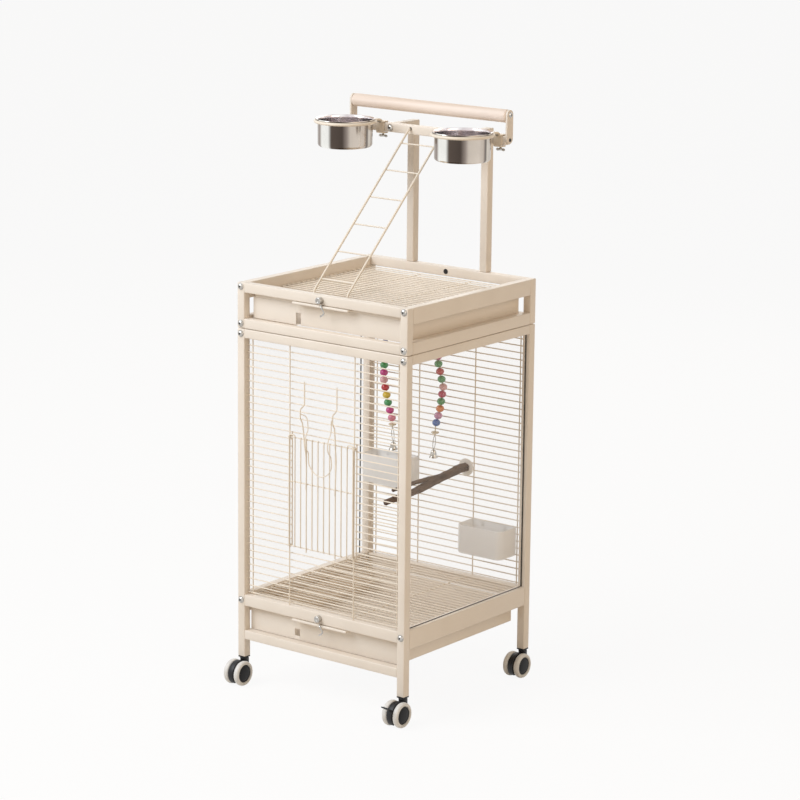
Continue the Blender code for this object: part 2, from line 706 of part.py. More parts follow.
CLAMP_FRONT = CROSS_Y - TUBE / 2 - GAP - CLAMP_PLATE
CLAMP_REACH = CROSS_Y + 0.004
JAW_Z = STAND_TOP - TUBE - 0.0090
SCREW_RADIUS = 0.0022
for side, tag in ((-1, "left"), (1, "right")):
    cx = side * CUP_X
    sx = cx + CLAMP_SHIFT
    ring = moved(ring_band(RING_RADIUS, RING_WIRE, 28, 6), (cx, CUP_Y, RING_Z))
    top_in = STAND_TOP + GAP
    clamp_outline = [
        (CLAMP_FRONT - CLAMP_TIE, RING_Z - 0.0020), (CLAMP_FRONT - 0.006, RING_Z - 0.0020), (CLAMP_FRONT, RING_Z - 0.0060),
        (CLAMP_FRONT, JAW_Z), (CLAMP_REACH, JAW_Z), (CLAMP_REACH, JAW_Z + CLAMP_PLATE),
        (CLAMP_FRONT + CLAMP_PLATE, JAW_Z + CLAMP_PLATE), (CLAMP_FRONT + CLAMP_PLATE, top_in),
        (CLAMP_REACH, top_in), (CLAMP_REACH, top_in + CLAMP_PLATE),
        (CLAMP_FRONT + 0.003, top_in + CLAMP_PLATE), (CLAMP_FRONT - 0.005, RING_Z + 0.0018),
        (CLAMP_FRONT - CLAMP_TIE, RING_Z + 0.0018),
    ]
    clamp = slab(clamp_outline, sx - CLAMP_WIDTH / 2, sx + CLAMP_WIDTH / 2, "X")
    holder = fused(ring, clamp)
    bore = turned([(0.0, 0.02), (SCREW_RADIUS + GAP, 0.02), (SCREW_RADIUS + GAP, -0.02), (0.0, -0.02)], 12)
    holder = fused(holder, moved(bore, (sx, CROSS_Y, JAW_Z - 0.001 - 0.0095)), operation="DIFFERENCE")
    part(holder, "cup_ring_" + tag, CREAM, 0.4)
    top = STAND_TOP - TUBE - GAP
    screw = turned([(0.0, top), (SCREW_RADIUS, top), (SCREW_RADIUS, JAW_Z - 0.002), (0.0045, JAW_Z - 0.003),
                    (0.0045, JAW_Z - 0.008), (0.0, JAW_Z - 0.008)], 12)
    wing = [(-0.0035, JAW_Z - 0.0035), (-0.0105, JAW_Z - 0.0030), (-0.0120, JAW_Z - 0.0090), (-0.0035, JAW_Z - 0.0075),
            (0.0035, JAW_Z - 0.0075), (0.0120, JAW_Z - 0.0090), (0.0105, JAW_Z - 0.0030), (0.0035, JAW_Z - 0.0035)]
    screw = fused(screw, slab(wing, -0.0012, 0.0012, "Y"))
    part(moved(screw, (sx, CROSS_Y, 0.0)), "wing_screw_" + tag, ZINC, 0.3, 0.9, pivot=(sx, CROSS_Y, JAW_Z))
    seat = RING_Z + RING_WIRE * math.sin(math.radians(90)) + GAP
    rim = CUP_RADIUS + 0.0045
    floor = seat - CUP_HEIGHT
    cup_profile = [
        (CUP_RADIUS - CUP_WALL, seat + 0.0012), (rim, seat + 0.0012), (rim + 0.0006, seat + 0.0006),
        (rim, seat), (CUP_RADIUS, seat), (CUP_RADIUS - 0.0005, floor + 0.008), (CUP_RADIUS - 0.007, floor),
        (0.0, floor), (0.0, floor + CUP_WALL), (CUP_RADIUS - 0.0075, floor + CUP_WALL),
        (CUP_RADIUS - CUP_WALL - 0.0005, floor + 0.0085),
    ]
    cup_profile = cup_profile[8:] + cup_profile[:8]
    bowl = turned(cup_profile, 28)
    part(moved(bowl, (cx, CUP_Y, 0.0)), "steel_cup_" + tag, STEEL, 0.16, 1.0, pivot=(cx, CUP_Y, floor))


# Ladder
def ladder():
    """Two bent rods with rungs; its upper ends meet the cross tube."""
    top_y = CROSS_Y - TUBE / 2 - LADDER_END_GAP
    foot_z = TOP_GRILLE_Z + WIRE + GAP
    rods = []
    for side in (-1, 1):
        x = side * LADDER_X
        rods.append(rod([(x, LADDER_FOOT_Y, foot_z), (x, LADDER_FOOT_Y, LADDER_BEND_Z - 0.004),
                         (x, LADDER_FOOT_Y + 0.006, LADDER_BEND_Z + 0.004),
                         (x, top_y - 0.005, LADDER_TOP_Z - 0.001), (x, top_y, LADDER_TOP_Z)], LADDER_ROD))
    rungs = []
    for k in range(LADDER_RUNGS):
        t = 0.060 + k * 0.1575
        y = top_y + (LADDER_FOOT_Y + 0.006 - top_y) * t
        z = LADDER_TOP_Z + (LADDER_BEND_Z + 0.004 - LADDER_TOP_Z) * t
        rungs.append(rod([(-LADDER_X, y, z), (LADDER_X, y, z)], 0.0016))
    return fused(rods[0], *rungs, rods[1]), (0.0, top_y, LADDER_TOP_Z)


body, pivot = ladder()
part(body, "ladder", CREAM, 0.4, pivot=pivot)


# Branch perch with its washer
branch_z = 0.439
branch_x = 0.056
branch_back = BACK_WIRE_Y - half - GAP
washer = turned([(0.0, 0.0), (0.0135, 0.0), (0.0150, 0.0015), (0.0150, 0.0040), (0.0, 0.0040)], 16)
washer.data.transform(Matrix.Rotation(-math.pi / 2, 4, "X"))
washer = moved(washer, (branch_x, branch_back - 0.0040, branch_z))
part(washer, "perch_washer", (0.80, 0.80, 0.80), 0.35, 0.3)


def tapered(points, radii, sides):
    """Rough limb that follows points and changes its thickness from one to the next."""
    bm = bmesh.new()
    rings = []
    for k, where in enumerate(points):
        before = Vector(points[max(k - 1, 0)])
        after = Vector(points[min(k + 1, len(points) - 1)])
        along = (after - before).normalized()
        side = along.cross(Vector((0, 0, 1))).normalized()
        up = side.cross(along)
        ring = []
        for n in range(sides):
            a = 2 * math.pi * n / sides
            ring.append(bm.verts.new(Vector(where) + radii[k] * (math.cos(a) * side + math.sin(a) * up)))
        rings.append(ring)
    for one, two in zip(rings, rings[1:]):
        for n in range(sides):
            m = (n + 1) % sides
            bm.faces.new((one[n], one[m], two[m], two[n]))
    bm.faces.new(rings[0])
    bm.faces.new(rings[-1])
    bmesh.ops.recalc_face_normals(bm, faces=bm.faces)
    return raw(bm)


perch_back = branch_back - 0.0040 - GAP
limb = tapered(
    [(branch_x, perch_back, branch_z), (branch_x, perch_back - 0.03, branch_z),
     (branch_x - 0.006, perch_back - 0.10, branch_z - 0.006), (branch_x - 0.012, perch_back - 0.17, branch_z - 0.014),
     (branch_x - 0.016, perch_back - 0.27, branch_z + 0.004)],
    [0.0100, 0.0095, 0.0095, 0.0085, 0.0070], 10)
fork = tapered(
    [(branch_x - 0.004, perch_back - 0.085, branch_z + 0.001), (branch_x - 0.022, perch_back - 0.14, branch_z + 0.010),
     (branch_x - 0.040, perch_back - 0.21, branch_z + 0.012)],
    [0.0070, 0.0055, 0.0045], 8)
part(fused(limb, fork), "branch_perch", (0.16, 0.11, 0.09), 0.8)


# Clear feeding cups hooked on the back panel
def feeding_cup(x, z):
    """Open cup with rounded front corners and a hook plate behind."""
    w, d, h = FEED_CUP
    rear = BACK_WIRE_Y - half - GAP
    def ring(inset):
        a, front = w / 2 - inset, rear - d + inset
        r = 0.016 - inset / 2
        left = circle((x - a + r, front + r), r, 3, 180, 270)
        right = circle((x + a - r, front + r), r, 3, 270, 360)
        return left + right + [(x + a, rear - inset), (x - a, rear - inset)]
    body = slab(ring(0.0), z, z + h, "Z")
    body = fused(body, slab(ring(0.0018), z + 0.0018, z + h + 0.01, "Z"), operation="DIFFERENCE")
    return body


part(feeding_cup(0.147, 0.264), "feeding_cup_right", (0.90, 0.93, 0.92), 0.2, pivot=(0.147, 0.43, 0.264), alpha=0.5)
part(feeding_cup(-0.157, 0.378), "feeding_cup_left", (0.90, 0.93, 0.92), 0.2, pivot=(-0.157, 0.43, 0.378), alpha=0.5)


# Bead strings and their bells
def bead_string(x, y, z, count):
    """Beads threaded on a cord, hung from a back wire by an eye at the top."""
    profile = [(0.0, 0.0), (0.0014, 0.0), (0.0014, -0.008)]
    height = -0.008 - BEAD_RADIUS
    for k in range(count):
        for angle in (55, 0, -55):
            a = math.radians(angle)
            profile.append((BEAD_RADIUS * math.cos(a), height + BEAD_RADIUS * math.sin(a)))
        height -= BEAD_STEP
    end = height + BEAD_RADIUS - BEAD_RADIUS * 0.8
    profile += [(0.0012, end), (0.0012, end - STRING_TAIL), (0.0, end - STRING_TAIL)]
    return moved(turned(profile, 8), (x, y, z)), z + end - STRING_TAIL


def bell(x, y, z):
    """Small bell with its clapper, open below."""
    profile = [
        (0.0, 0.0), (0.0030, -0.0006), (0.0062, -0.0050), (0.0072, -0.0130), (0.0100, -0.0180),
        (0.0092, -0.0183), (0.0064, -0.0130), (0.0053, -0.0056), (0.0012, -0.0024), (0.0012, -0.0150),
        (0.0028, -0.0185), (0.0, -0.0210),
    ]
    return moved(turned(profile, 12), (x, y, z))


def path_x(path, z):
    """Sideways place of a string at a height, taken along its bends."""
    for (z0, x0), (z1, x1) in zip(path, path[1:]):
        if z >= z1:
            return x0 + (x1 - x0) * min(max((z - z0) / (z1 - z0), 0.0), 1.0)
    return path[-1][1]


def bent(obj, path):
    """Shift every point of a straight string sideways along its bends."""
    for vertex in obj.data.vertices:
        vertex.co.x += path_x(path, vertex.co.z)
    return obj


string_y = BACK_WIRE_Y - half - STRING_CLEAR
hook_z = wire_heights[0] + half + GAP + 0.0012
for tag, path in STRING_PATHS.items():
    string, bottom = bead_string(0.0, string_y, hook_z - 0.002, BEAD_COUNT)
    hook = rod([(0.0, string_y, hook_z - 0.006), (0.0, string_y, hook_z - 0.001), (0.0, string_y + 0.002, hook_z),
                (0.0, BACK_WIRE_Y + 0.001, hook_z)], 0.0012)
    pivot = (path_x(path, hook_z), BACK_WIRE_Y, wire_heights[0])
    part(bent(fused(string, hook), path), "bead_string_" + tag, (0.75, 0.25, 0.35), 0.35, pivot=pivot)
    pivot = (path_x(path, bottom), string_y, bottom - GAP)
    part(bell(*pivot), "bell_" + tag, ZINC, 0.2, 1.0, pivot=pivot)


# Casters
def hood():
    """Hood between the two wheels with the swivel boss on top."""
    wheel = (-CASTER_TRAIL, WHEEL_RADIUS)
    arc = circle(wheel, HOOD_RADIUS, 14, 55, 230)
    outline = [(0.0085, 0.0560)] + arc + [(-CASTER_TRAIL, 0.0170), (-CASTER_TRAIL + 0.010, 0.0210), (0.0085, 0.0400)]
    axle_hole = circle(wheel, AXLE_RADIUS + 0.0006, 10)
    fin = slab(outline, -HOOD_HALF, HOOD_HALF, "X", (axle_hole,))
    top = POST_BOTTOM - GAP
    plate = [(0.0, top), (0.0090, top), (0.0095, top - 0.0025), (0.0088, top - 0.0045), (0.0088, 0.0507), (0.0, 0.0507)]
    return fused(fin, turned(plate, 16))


def wheel_pair():
    """Two treaded wheels with domed caps on one axle."""
    half_profile = [
        (0.0, WHEEL_HALF), (0.0150, WHEEL_HALF - 0.0010), (0.0195, WHEEL_HALF - 0.0028),
        (0.0215, WHEEL_HALF - 0.0008), (WHEEL_RADIUS, WHEEL_HALF - 0.0025),
        (WHEEL_RADIUS, 0.0090), (WHEEL_RADIUS - 0.0015, 0.0075), (AXLE_RADIUS, 0.0075),
    ]
    profile = half_profile + [(r, -x) for r, x in half_profile[::-1]]
    return turned(profile, 16, "X")


def brake_lever():
    """Pedal that points forward and up from the hood and widens at its end."""
    def strip(start, half_width):
        along = Vector((math.cos(LEVER_TILT), math.sin(LEVER_TILT)))
        across = Vector((-along.y, along.x)) * LEVER_HALF
        centre = Vector((-CASTER_TRAIL, WHEEL_RADIUS))
        a, b = centre + along * start, centre + along * LEVER_END
        return slab([a - across, b - across, b + across, a + across], -half_width, half_width, "X")
    return fused(strip(LEVER_ROOT, 0.0058), strip(LEVER_ROOT + 0.013, 0.0090))


for y, row in ((TUBE / 2, "front"), (DEPTH - TUBE / 2, "rear")):
    for side, tag in ((-1, "left"), (1, "right")):
        x = side * (HALF - TUBE / 2)
        name = row + "_" + tag
        part(moved(hood(), (x, y, 0.0)), "caster_hood_" + name, BLACK, 0.45, pivot=(x, y, POST_BOTTOM))
        axle = (x, y - CASTER_TRAIL, WHEEL_RADIUS)
        part(moved(wheel_pair(), axle), "caster_wheels_" + name, (0.70, 0.69, 0.66), 0.5, pivot=axle)
        if name in ("front_right", "rear_left"):
            pin = (x, y - CASTER_TRAIL + (LEVER_ROOT + 0.0007) * math.cos(LEVER_TILT),
                   WHEEL_RADIUS + (LEVER_ROOT + 0.0007) * math.sin(LEVER_TILT))
            part(moved(brake_lever(), (x, y, 0.0)), "brake_lever_" + name, BLACK, 0.45, pivot=pin)

bpy.context.view_layer.update()
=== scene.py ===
import math

import bmesh
import bpy
import numpy as np
from mathutils import Matrix, Vector


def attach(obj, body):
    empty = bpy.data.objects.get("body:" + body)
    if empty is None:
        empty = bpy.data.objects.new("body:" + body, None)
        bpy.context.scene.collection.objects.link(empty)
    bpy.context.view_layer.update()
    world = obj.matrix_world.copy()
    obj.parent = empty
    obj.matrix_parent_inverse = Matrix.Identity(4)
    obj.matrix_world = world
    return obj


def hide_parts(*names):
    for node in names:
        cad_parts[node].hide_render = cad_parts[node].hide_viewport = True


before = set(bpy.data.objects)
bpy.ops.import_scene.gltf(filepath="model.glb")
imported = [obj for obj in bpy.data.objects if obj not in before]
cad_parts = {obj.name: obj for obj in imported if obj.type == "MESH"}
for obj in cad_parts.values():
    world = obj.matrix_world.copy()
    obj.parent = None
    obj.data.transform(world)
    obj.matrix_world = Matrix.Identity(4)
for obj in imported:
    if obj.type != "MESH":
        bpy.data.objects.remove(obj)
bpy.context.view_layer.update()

# Sizes, in metres. In this file y = 0 is the front face of the cage's posts,
# +Y runs to the back and z = 0 is the floor; CENTRE_Y moves a finished piece
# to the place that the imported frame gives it. A pair of numbers is a low and
# a high edge. GAP is the clearance between seated pieces, SINK how far a
# welded end goes into its post, and SKIN keeps two faces out of one plane.
CENTRE_Y = 0.195857
GAP = 0.0003
DEPTH = 0.444
TUBE = 0.019
HALF = 0.225
INNER = HALF - TUBE
BACK = DEPTH - TUBE
POST_X = HALF - TUBE / 2
POST_BOTTOM = 0.060
TUBE_EDGE = 0.0020
SINK = 0.0008
SKIN = 0.0001

LOWEST_RAIL = (0.100, 0.120)
PANEL_RAIL = (0.1745, 0.199)
BODY_RAIL = (0.7586, 0.7782)
SIDE_RAIL_BOTTOM = (0.160, 0.201)
MODULE_RAIL = (0.7794, 0.8000)
MODULE_SIDE_RAIL = (0.7794, 0.8045)
MODULE_PLATE = (0.8420, 0.8760)
TOP_RAIL = (0.8555, 0.8760)

WIRE = 0.00135
PITCH = 0.0154
WIRE_ROWS = 36
FRONT_WIRE_Y = 0.0120
BACK_WIRE_Y = DEPTH - 0.0095
OUTER_WIRE_X = 0.194
BACK_WIRE_X = 0.0757
GRILLE_CROSS_X = 0.068
WELD_STEP = 0.0021
WIRE_REACH = INNER + SINK
WIRE_HEIGHTS = BODY_RAIL[0] - PITCH * np.arange(1, WIRE_ROWS + 1)

GUIDE_X = 0.0862
GUIDE_Y = 0.0060
DOOR_BOTTOM = 0.330
DOOR_MIDDLE = 0.470
DOOR_TOP = 0.565
DOOR_BARS = 12
DOOR_BAR_PITCH = 0.0155
DOOR_BAR_Y = GUIDE_Y - 2 * WIRE - 0.0004

STAND_X = 0.0985
STAND_TOP = 1.185
CROSS_Y = 0.362
CROSS_HALF = 0.204
CROSS_FRONT = CROSS_Y - TUBE / 2
DOWEL_Z = 1.226
DOWEL_RADIUS = 0.0138
BRACKET_HALF = 0.0105
BRACKET_BOTTOM = 1.1685
BRACKET_RISE = 0.0030
BRACKET_THICK = 0.0045
BRACKET_BOLT_Z = 1.1765

CUP_X = 0.155
CUP_Y = 0.2695
RING_Z = 1.1930
RING_RADIUS = 0.0635
RING_WIRE = 0.0035
CUP_RADIUS = 0.0590
CUP_HEIGHT = 0.058
CUP_SIDES = 160
CLAMP_SHIFT = 0.030
CLAMP_PLATE = 0.0026
CLAMP_WIDTH = 0.020
CLAMP_FRONT = CROSS_FRONT - GAP - CLAMP_PLATE
CLAMP_REACH = CROSS_Y + 0.004
JAW_Z = STAND_TOP - TUBE - 0.0048

LADDER_X = 0.044
LADDER_ROD = 0.0024
LADDER_FOOT_Y = 0.032
LADDER_BEND_Z = 0.876
LADDER_TOP_Z = 1.178
RUNGS = 6
RUNG_ROD = 0.0016
FIRST_RUNG = 0.092
RUNG_STEP = 0.170

BRANCH = (0.0586, 0.4285, 0.4402)
WASHER_RADIUS = 0.0190
WASHER_THICK = 0.0040
WASHER_Y = BACK_WIRE_Y - WIRE - GAP
STUD_X = 0.0
RAIL_HOLE = 0.0057
BOLT_X = 0.2155
BOLT_HEIGHTS = (0.8680, 0.7895, 0.7675, 0.1870)
BOLT_SEAT = 0.0008
WHEEL_RADIUS = 0.027
CASTER_TRAIL = 0.020
BEAD_RADIUS = 0.0091
BEAD_STEP = 0.0165

BOTH = (-1, 1)
SIDES = ((-1, "left"), (1, "right"))


# Surfaces. Each is (grid, wraps in u, wraps in v), the grid an array of
# points [u, v, xyz]; piece() joins several into one closed mesh.
def unit(vectors):
    """v / |v| for every vector of an array."""
    vectors = np.asarray(vectors, float)
    return vectors / np.maximum(np.linalg.norm(vectors, axis=-1, keepdims=True), 1e-12)


def circle(sides, radius=1.0):
    """(r cos v, r sin v) for v once round."""
    v = 2 * np.pi * np.arange(sides) / sides
    return radius * np.stack((np.cos(v), np.sin(v)), -1)


def arc(centre, radius, first, last, count):
    """centre + r (cos a, sin a), a running between two angles in degrees."""
    a = np.radians(np.linspace(first, last, count))
    return np.asarray(centre, float) + radius * np.stack((np.cos(a), np.sin(a)), -1)


def soft_rectangle(width, height, radius, steps=3):
    """Rectangle outline with quarter circles: corner centre + r (cos v, sin v)."""
    v = np.linspace(0, np.pi / 2, steps + 1)
    turns = v[None, :] + (np.pi / 2) * np.arange(4)[:, None]
    signs = np.array([(1, 1), (-1, 1), (-1, -1), (1, -1)], float)
    middle = signs * (width / 2 - radius, height / 2 - radius)
    arcs = middle[:, None, :] + radius * np.stack((np.cos(turns), np.sin(turns)), -1)
    return arcs.reshape(-1, 2)


def eased_path(points, radius, steps=5):
    """Corners rounded as (1-t)^2 a + 2t(1-t) corner + t^2 b, a and b being radius away."""
    points = np.asarray(points, float)
    t = np.linspace(0, 1, steps + 1)[None, :, None]
    corner = points[1:-1]

    def away(arm):
        reach = np.minimum(radius, np.linalg.norm(arm, axis=1) / 2)[:, None]
        return (corner + unit(arm) * reach)[:, None]

    a, b = away(points[:-2] - corner), away(points[2:] - corner)
    bends = (1 - t) ** 2 * a + 2 * t * (1 - t) * corner[:, None] + t**2 * b
    return np.concatenate((points[:1], bends.reshape(-1, points.shape[1]), points[-1:]))


def through(points, count):
    """Cubic Hermite curve through the points, the slope at each half the step across it."""
    points = np.asarray(points, float)
    slopes = np.gradient(points, axis=0)
    s = np.linspace(0, len(points) - 1, count)
    k = np.minimum(s.astype(int), len(points) - 2)
    t = (s - k)[:, None]
    a, b, ma, mb = points[k], points[k + 1], slopes[k], slopes[k + 1]
    return ((2 * t**3 - 3 * t**2 + 1) * a + (t**3 - 2 * t**2 + t) * ma
            + (3 * t**2 - 2 * t**3) * b + (t**3 - t**2) * mb)


def sweep(path, section, up=(0, 0, 1), scale=None, ring=False, caps=True):
    """path(u) + scale(u) (section x * side(u) + section y * top(u)), where side is
    tangent x up and top is side x tangent."""
    path = np.asarray(path, float)
    scale = np.ones(len(path)) if scale is None else np.asarray(scale, float)
    if ring:
        tangent = unit(np.roll(path, -1, 0) - np.roll(path, 1, 0))
    else:
        tangent = unit(np.gradient(path, axis=0))
        if caps:
            path = np.concatenate((path[:1], path, path[-1:]))
            tangent = np.concatenate((tangent[:1], tangent, tangent[-1:]))
            scale = np.concatenate(([0.0], scale, [0.0]))
    side = unit(np.cross(tangent, np.asarray(up, float)))
    top = np.cross(side, tangent)
    section = np.asarray(section, float)
    across = (section[None, :, 0, None] * side[:, None]
              + section[None, :, 1, None] * top[:, None])
    return path[:, None] + scale[:, None, None] * across, ring, True


def wire(path, radius, up=(0, 0, 1), sides=8, ring=False):
    """Circle swept along the path, its ends domed as path + r (1 - cos a), radius r sin a."""
    path = np.asarray(path, float)
    if ring:
        return sweep(path, circle(sides, radius), up, ring=True)
    a = np.radians([0, 30, 60, 90])
    ahead, back = unit(path[1] - path[0]), unit(path[-2] - path[-1])
    head = path[0] + radius * (1 - np.cos(a))[:, None] * ahead
    tail = path[-1] + radius * (1 - np.cos(a[::-1]))[:, None] * back
    full = np.concatenate((head, path[1:-1], tail))
    scale = np.concatenate((np.sin(a), np.ones(len(path) - 2), np.sin(a[::-1])))
    return sweep(full, circle(sides, radius), up, scale, caps=False)


def straight(start, end, radius, sides=8):
    """Straight round wire from start to end."""
    start, end = np.asarray(start, float), np.asarray(end, float)
    level = abs(end[2] - start[2]) < 0.7 * np.linalg.norm(end - start)
    return wire(np.stack((start, end)), radius, (0, 0, 1) if level else (0, 1, 0), sides)


def upright(x, y, low, high):
    """Wire of the usual thickness that stands between two heights."""
    return straight((x, y, low), (x, y, high), WIRE)


def across(reach, y, z, radius=WIRE, sides=8):
    """Level wire that reaches equally far to the left and the right."""
    return straight((-reach, y, z), (reach, y, z), radius, sides)


def block(low, high, radius=TUBE_EDGE, steps=3):
    """Rounded box: half * sign + r * (sphere point), a sphere pulled apart into corners."""
    low, high = np.asarray(low, float), np.asarray(high, float)
    middle, half = (low + high) / 2, (high - low) / 2 - radius
    quarter = np.linspace(0, np.pi / 2, steps + 1)
    lon = (quarter[None, :] + (np.pi / 2) * np.arange(4)[:, None]).ravel()
    lat = np.concatenate((quarter - np.pi / 2, quarter))[:, None]
    sphere = np.stack(np.broadcast_arrays(
        np.cos(lat) * np.cos(lon), np.cos(lat) * np.sin(lon), np.sin(lat)), -1)
    sign_x = np.repeat([1, -1, -1, 1], steps + 1)[None, :]
    sign_y = np.repeat([1, 1, -1, -1], steps + 1)[None, :]
    sign_z = np.repeat([-1, 1], steps + 1)[:, None]
    signs = np.stack(np.broadcast_arrays(sign_x, sign_y, sign_z), -1)
    shell = middle + half * signs + radius * sphere
    columns = np.ones((1, shell.shape[1], 1))
    foot, head = shell[:1].mean(1, keepdims=True), shell[-1:].mean(1, keepdims=True)
    return np.concatenate((foot * columns, shell, head * columns)), False, True


def turned(profile, centre, axis, sides, soft=0.0):
    """Profile (r, h) turned round an axis: centre + (r cos v, r sin v, h)."""
    profile = np.asarray(profile, float)
    if soft:
        profile = eased_path(profile, soft, 3)
    v = 2 * np.pi * np.arange(sides) / sides
    r, h = profile[:, 0, None], profile[:, 1, None]
    a, b, c = np.broadcast_arrays(r * np.cos(v), r * np.sin(v), h)
    order = {"X": (c, a, b), "Y": (b, c, a), "Z": (a, b, c)}[axis]
    return np.asarray(centre, float) + np.stack(order, -1), False, True


def disc(radius, near, far, centre, axis, sides):
    """Flat round disc: the profile (0, near), (r, near), (r, far), (0, far) turned."""
    profile = [(0.0, near), (radius, near), (radius, far), (0.0, far)]
    return turned(profile, centre, axis, sides)


def plate(outline, start, end, axis, edge=0.0006, centre=None):
    """Flat outline p from start to end: rings of p and of p drawn in by the edge, closed
    by fans to the centre."""
    outline = np.asarray(outline, float)
    middle = outline.mean(0) if centre is None else np.asarray(centre, float)
    arms = outline - middle
    length = np.linalg.norm(arms, axis=1)
    inset, half_in = (middle + arms * (1 - share * edge / length)[:, None] for share in (1, 0.3))
    centre_row = np.broadcast_to(middle, outline.shape)
    rings = np.stack((centre_row, inset, half_in, outline, outline, half_in, inset, centre_row))
    heights = np.array([start, start, start + 0.3 * edge, start + edge,
                        end - edge, end - 0.3 * edge, end, end])
    a, b = rings[..., 0], rings[..., 1]
    c = np.broadcast_to(heights[:, None], a.shape)
    order = {"X": (c, a, b), "Y": (a, c, b), "Z": (a, b, c)}[axis]
    return np.stack(order, -1), False, True


def ball(centre, radii, rows=10, sides=20):
    """Ellipsoid: centre + radii * (cos u cos v, cos u sin v, sin u)."""
    u = np.linspace(-np.pi / 2, np.pi / 2, rows + 1)[:, None]
    v = 2 * np.pi * np.arange(sides) / sides
    sphere = np.stack(np.broadcast_arrays(
        np.cos(u) * np.cos(v), np.cos(u) * np.sin(v), np.sin(u)), -1)
    return np.asarray(centre, float) + np.asarray(radii, float) * sphere, False, True


def coil(centre, radius, rise, turns, steps=14):
    """Helix round Z: centre + (r cos a, r sin a, rise a / turn), the middle at the centre."""
    a = np.linspace(-np.pi * turns, np.pi * turns, int(steps * turns) + 1)
    spiral = np.stack((radius * np.cos(a), radius * np.sin(a), rise * a / (2 * np.pi)), -1)
    return np.asarray(centre, float) + spiral


def seam(path, radius, seed):
    """Weld bead: a straight wire whose radius swells and dips as
    1 + 0.16 sin(2 u) + 0.08 sin(0.9 u + 1.3)."""
    path = np.asarray(path, float)
    length = np.linalg.norm(path[-1] - path[0])
    t = np.linspace(0, 1, max(int(length / 0.0009), 8))[:, None]
    u = t[:, 0] * length / 0.0011 + seed
    scale = 1 + 0.16 * np.sin(u * 2.0) + 0.08 * np.sin(u * 0.9 + 1.3)
    scale[[0, -1]] = 0.25
    return sweep(path[0] * (1 - t) + path[-1] * t, circle(8, radius), scale=scale)


def quads(rows, columns, wrap_rows, wrap_columns):
    """Corner numbers of the cells of a grid, the last row or column joined to the first
    where it wraps."""
    i = np.arange(rows if wrap_rows else rows - 1)[:, None]
    j = np.arange(columns if wrap_columns else columns - 1)[None, :]
    below, beside = (i + 1) % rows, (j + 1) % columns
    corners = np.broadcast_arrays(
        i * columns + j, i * columns + beside, below * columns + beside, below * columns + j)
    return np.stack(corners, -1).reshape(-1, 4)


def piece(name, body, surfaces, replaced=(), slot=None, smooth=38, tones=None):
    """One mesh object from {material: surfaces}: grids joined, doubles merged, faces turned
    outwards. The tones, one for each grid or for each of its points, become an attribute."""
    points, corners, marks, colours = [], [], [], []
    count = 0
    for index, grids in enumerate(surfaces.values()):
        for grid, wrap_rows, wrap_columns in grids:
            rows, columns = grid.shape[:2]
            cells = quads(rows, columns, wrap_rows, wrap_columns) + count
            if tones is not None:
                tone = np.asarray(tones[len(points)], float)
                colours.append(np.broadcast_to(tone, (rows, columns, 3)).reshape(-1, 3))
            points.append(grid.reshape(-1, 3))
            corners.append(cells)
            marks.append(np.full(len(cells), index, np.int32))
            count += rows * columns
    places = np.concatenate(points) - (0.0, CENTRE_Y, 0.0)
    mesh = bpy.data.meshes.new(name)
    mesh.from_pydata(places.tolist(), [], np.concatenate(corners).tolist())
    mesh.polygons.foreach_set("material_index", np.concatenate(marks))
    if tones is not None:
        rgba = np.column_stack((np.concatenate(colours), np.ones(count)))
        tone = mesh.color_attributes.new("tone", "FLOAT_COLOR", "POINT")
        tone.data.foreach_set("color", rgba.astype(np.float32).ravel())
    bm = bmesh.new()
    bm.from_mesh(mesh)
    bmesh.ops.remove_doubles(bm, verts=bm.verts, dist=2e-7)
    bmesh.ops.dissolve_degenerate(bm, edges=bm.edges, dist=1e-8)
    bmesh.ops.recalc_face_normals(bm, faces=bm.faces)
    bm.to_mesh(mesh)
    bm.free()
    mesh.shade_smooth()
    mesh.set_sharp_from_angle(angle=math.radians(smooth))
    obj = bpy.data.objects.new(name, mesh)
    bpy.context.scene.collection.objects.link(obj)
    for material in surfaces:
        mesh.materials.append(material)
    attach(obj, body)
    if replaced:
        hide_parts(*replaced)


def dress(node, body, surfaces, slot, **more):
    """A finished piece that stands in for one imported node."""
    piece(node + "_dressed", body, surfaces, [node], slot, **more)


# ---- Finishes ----
def shader_node(nodes, kind, **inputs):
    """A new node with these input values; an underscore stands for a space."""
    node = nodes.new("ShaderNode" + kind)
    for socket, value in inputs.items():
        node.inputs[socket.replace("_", " ")].default_value = value
    return node


def colour_mix(nodes, blend):
    """A Mix node for colours."""
    mix = nodes.new("ShaderNodeMix")
    mix.data_type = "RGBA"
    mix.blend_type = blend
    return mix


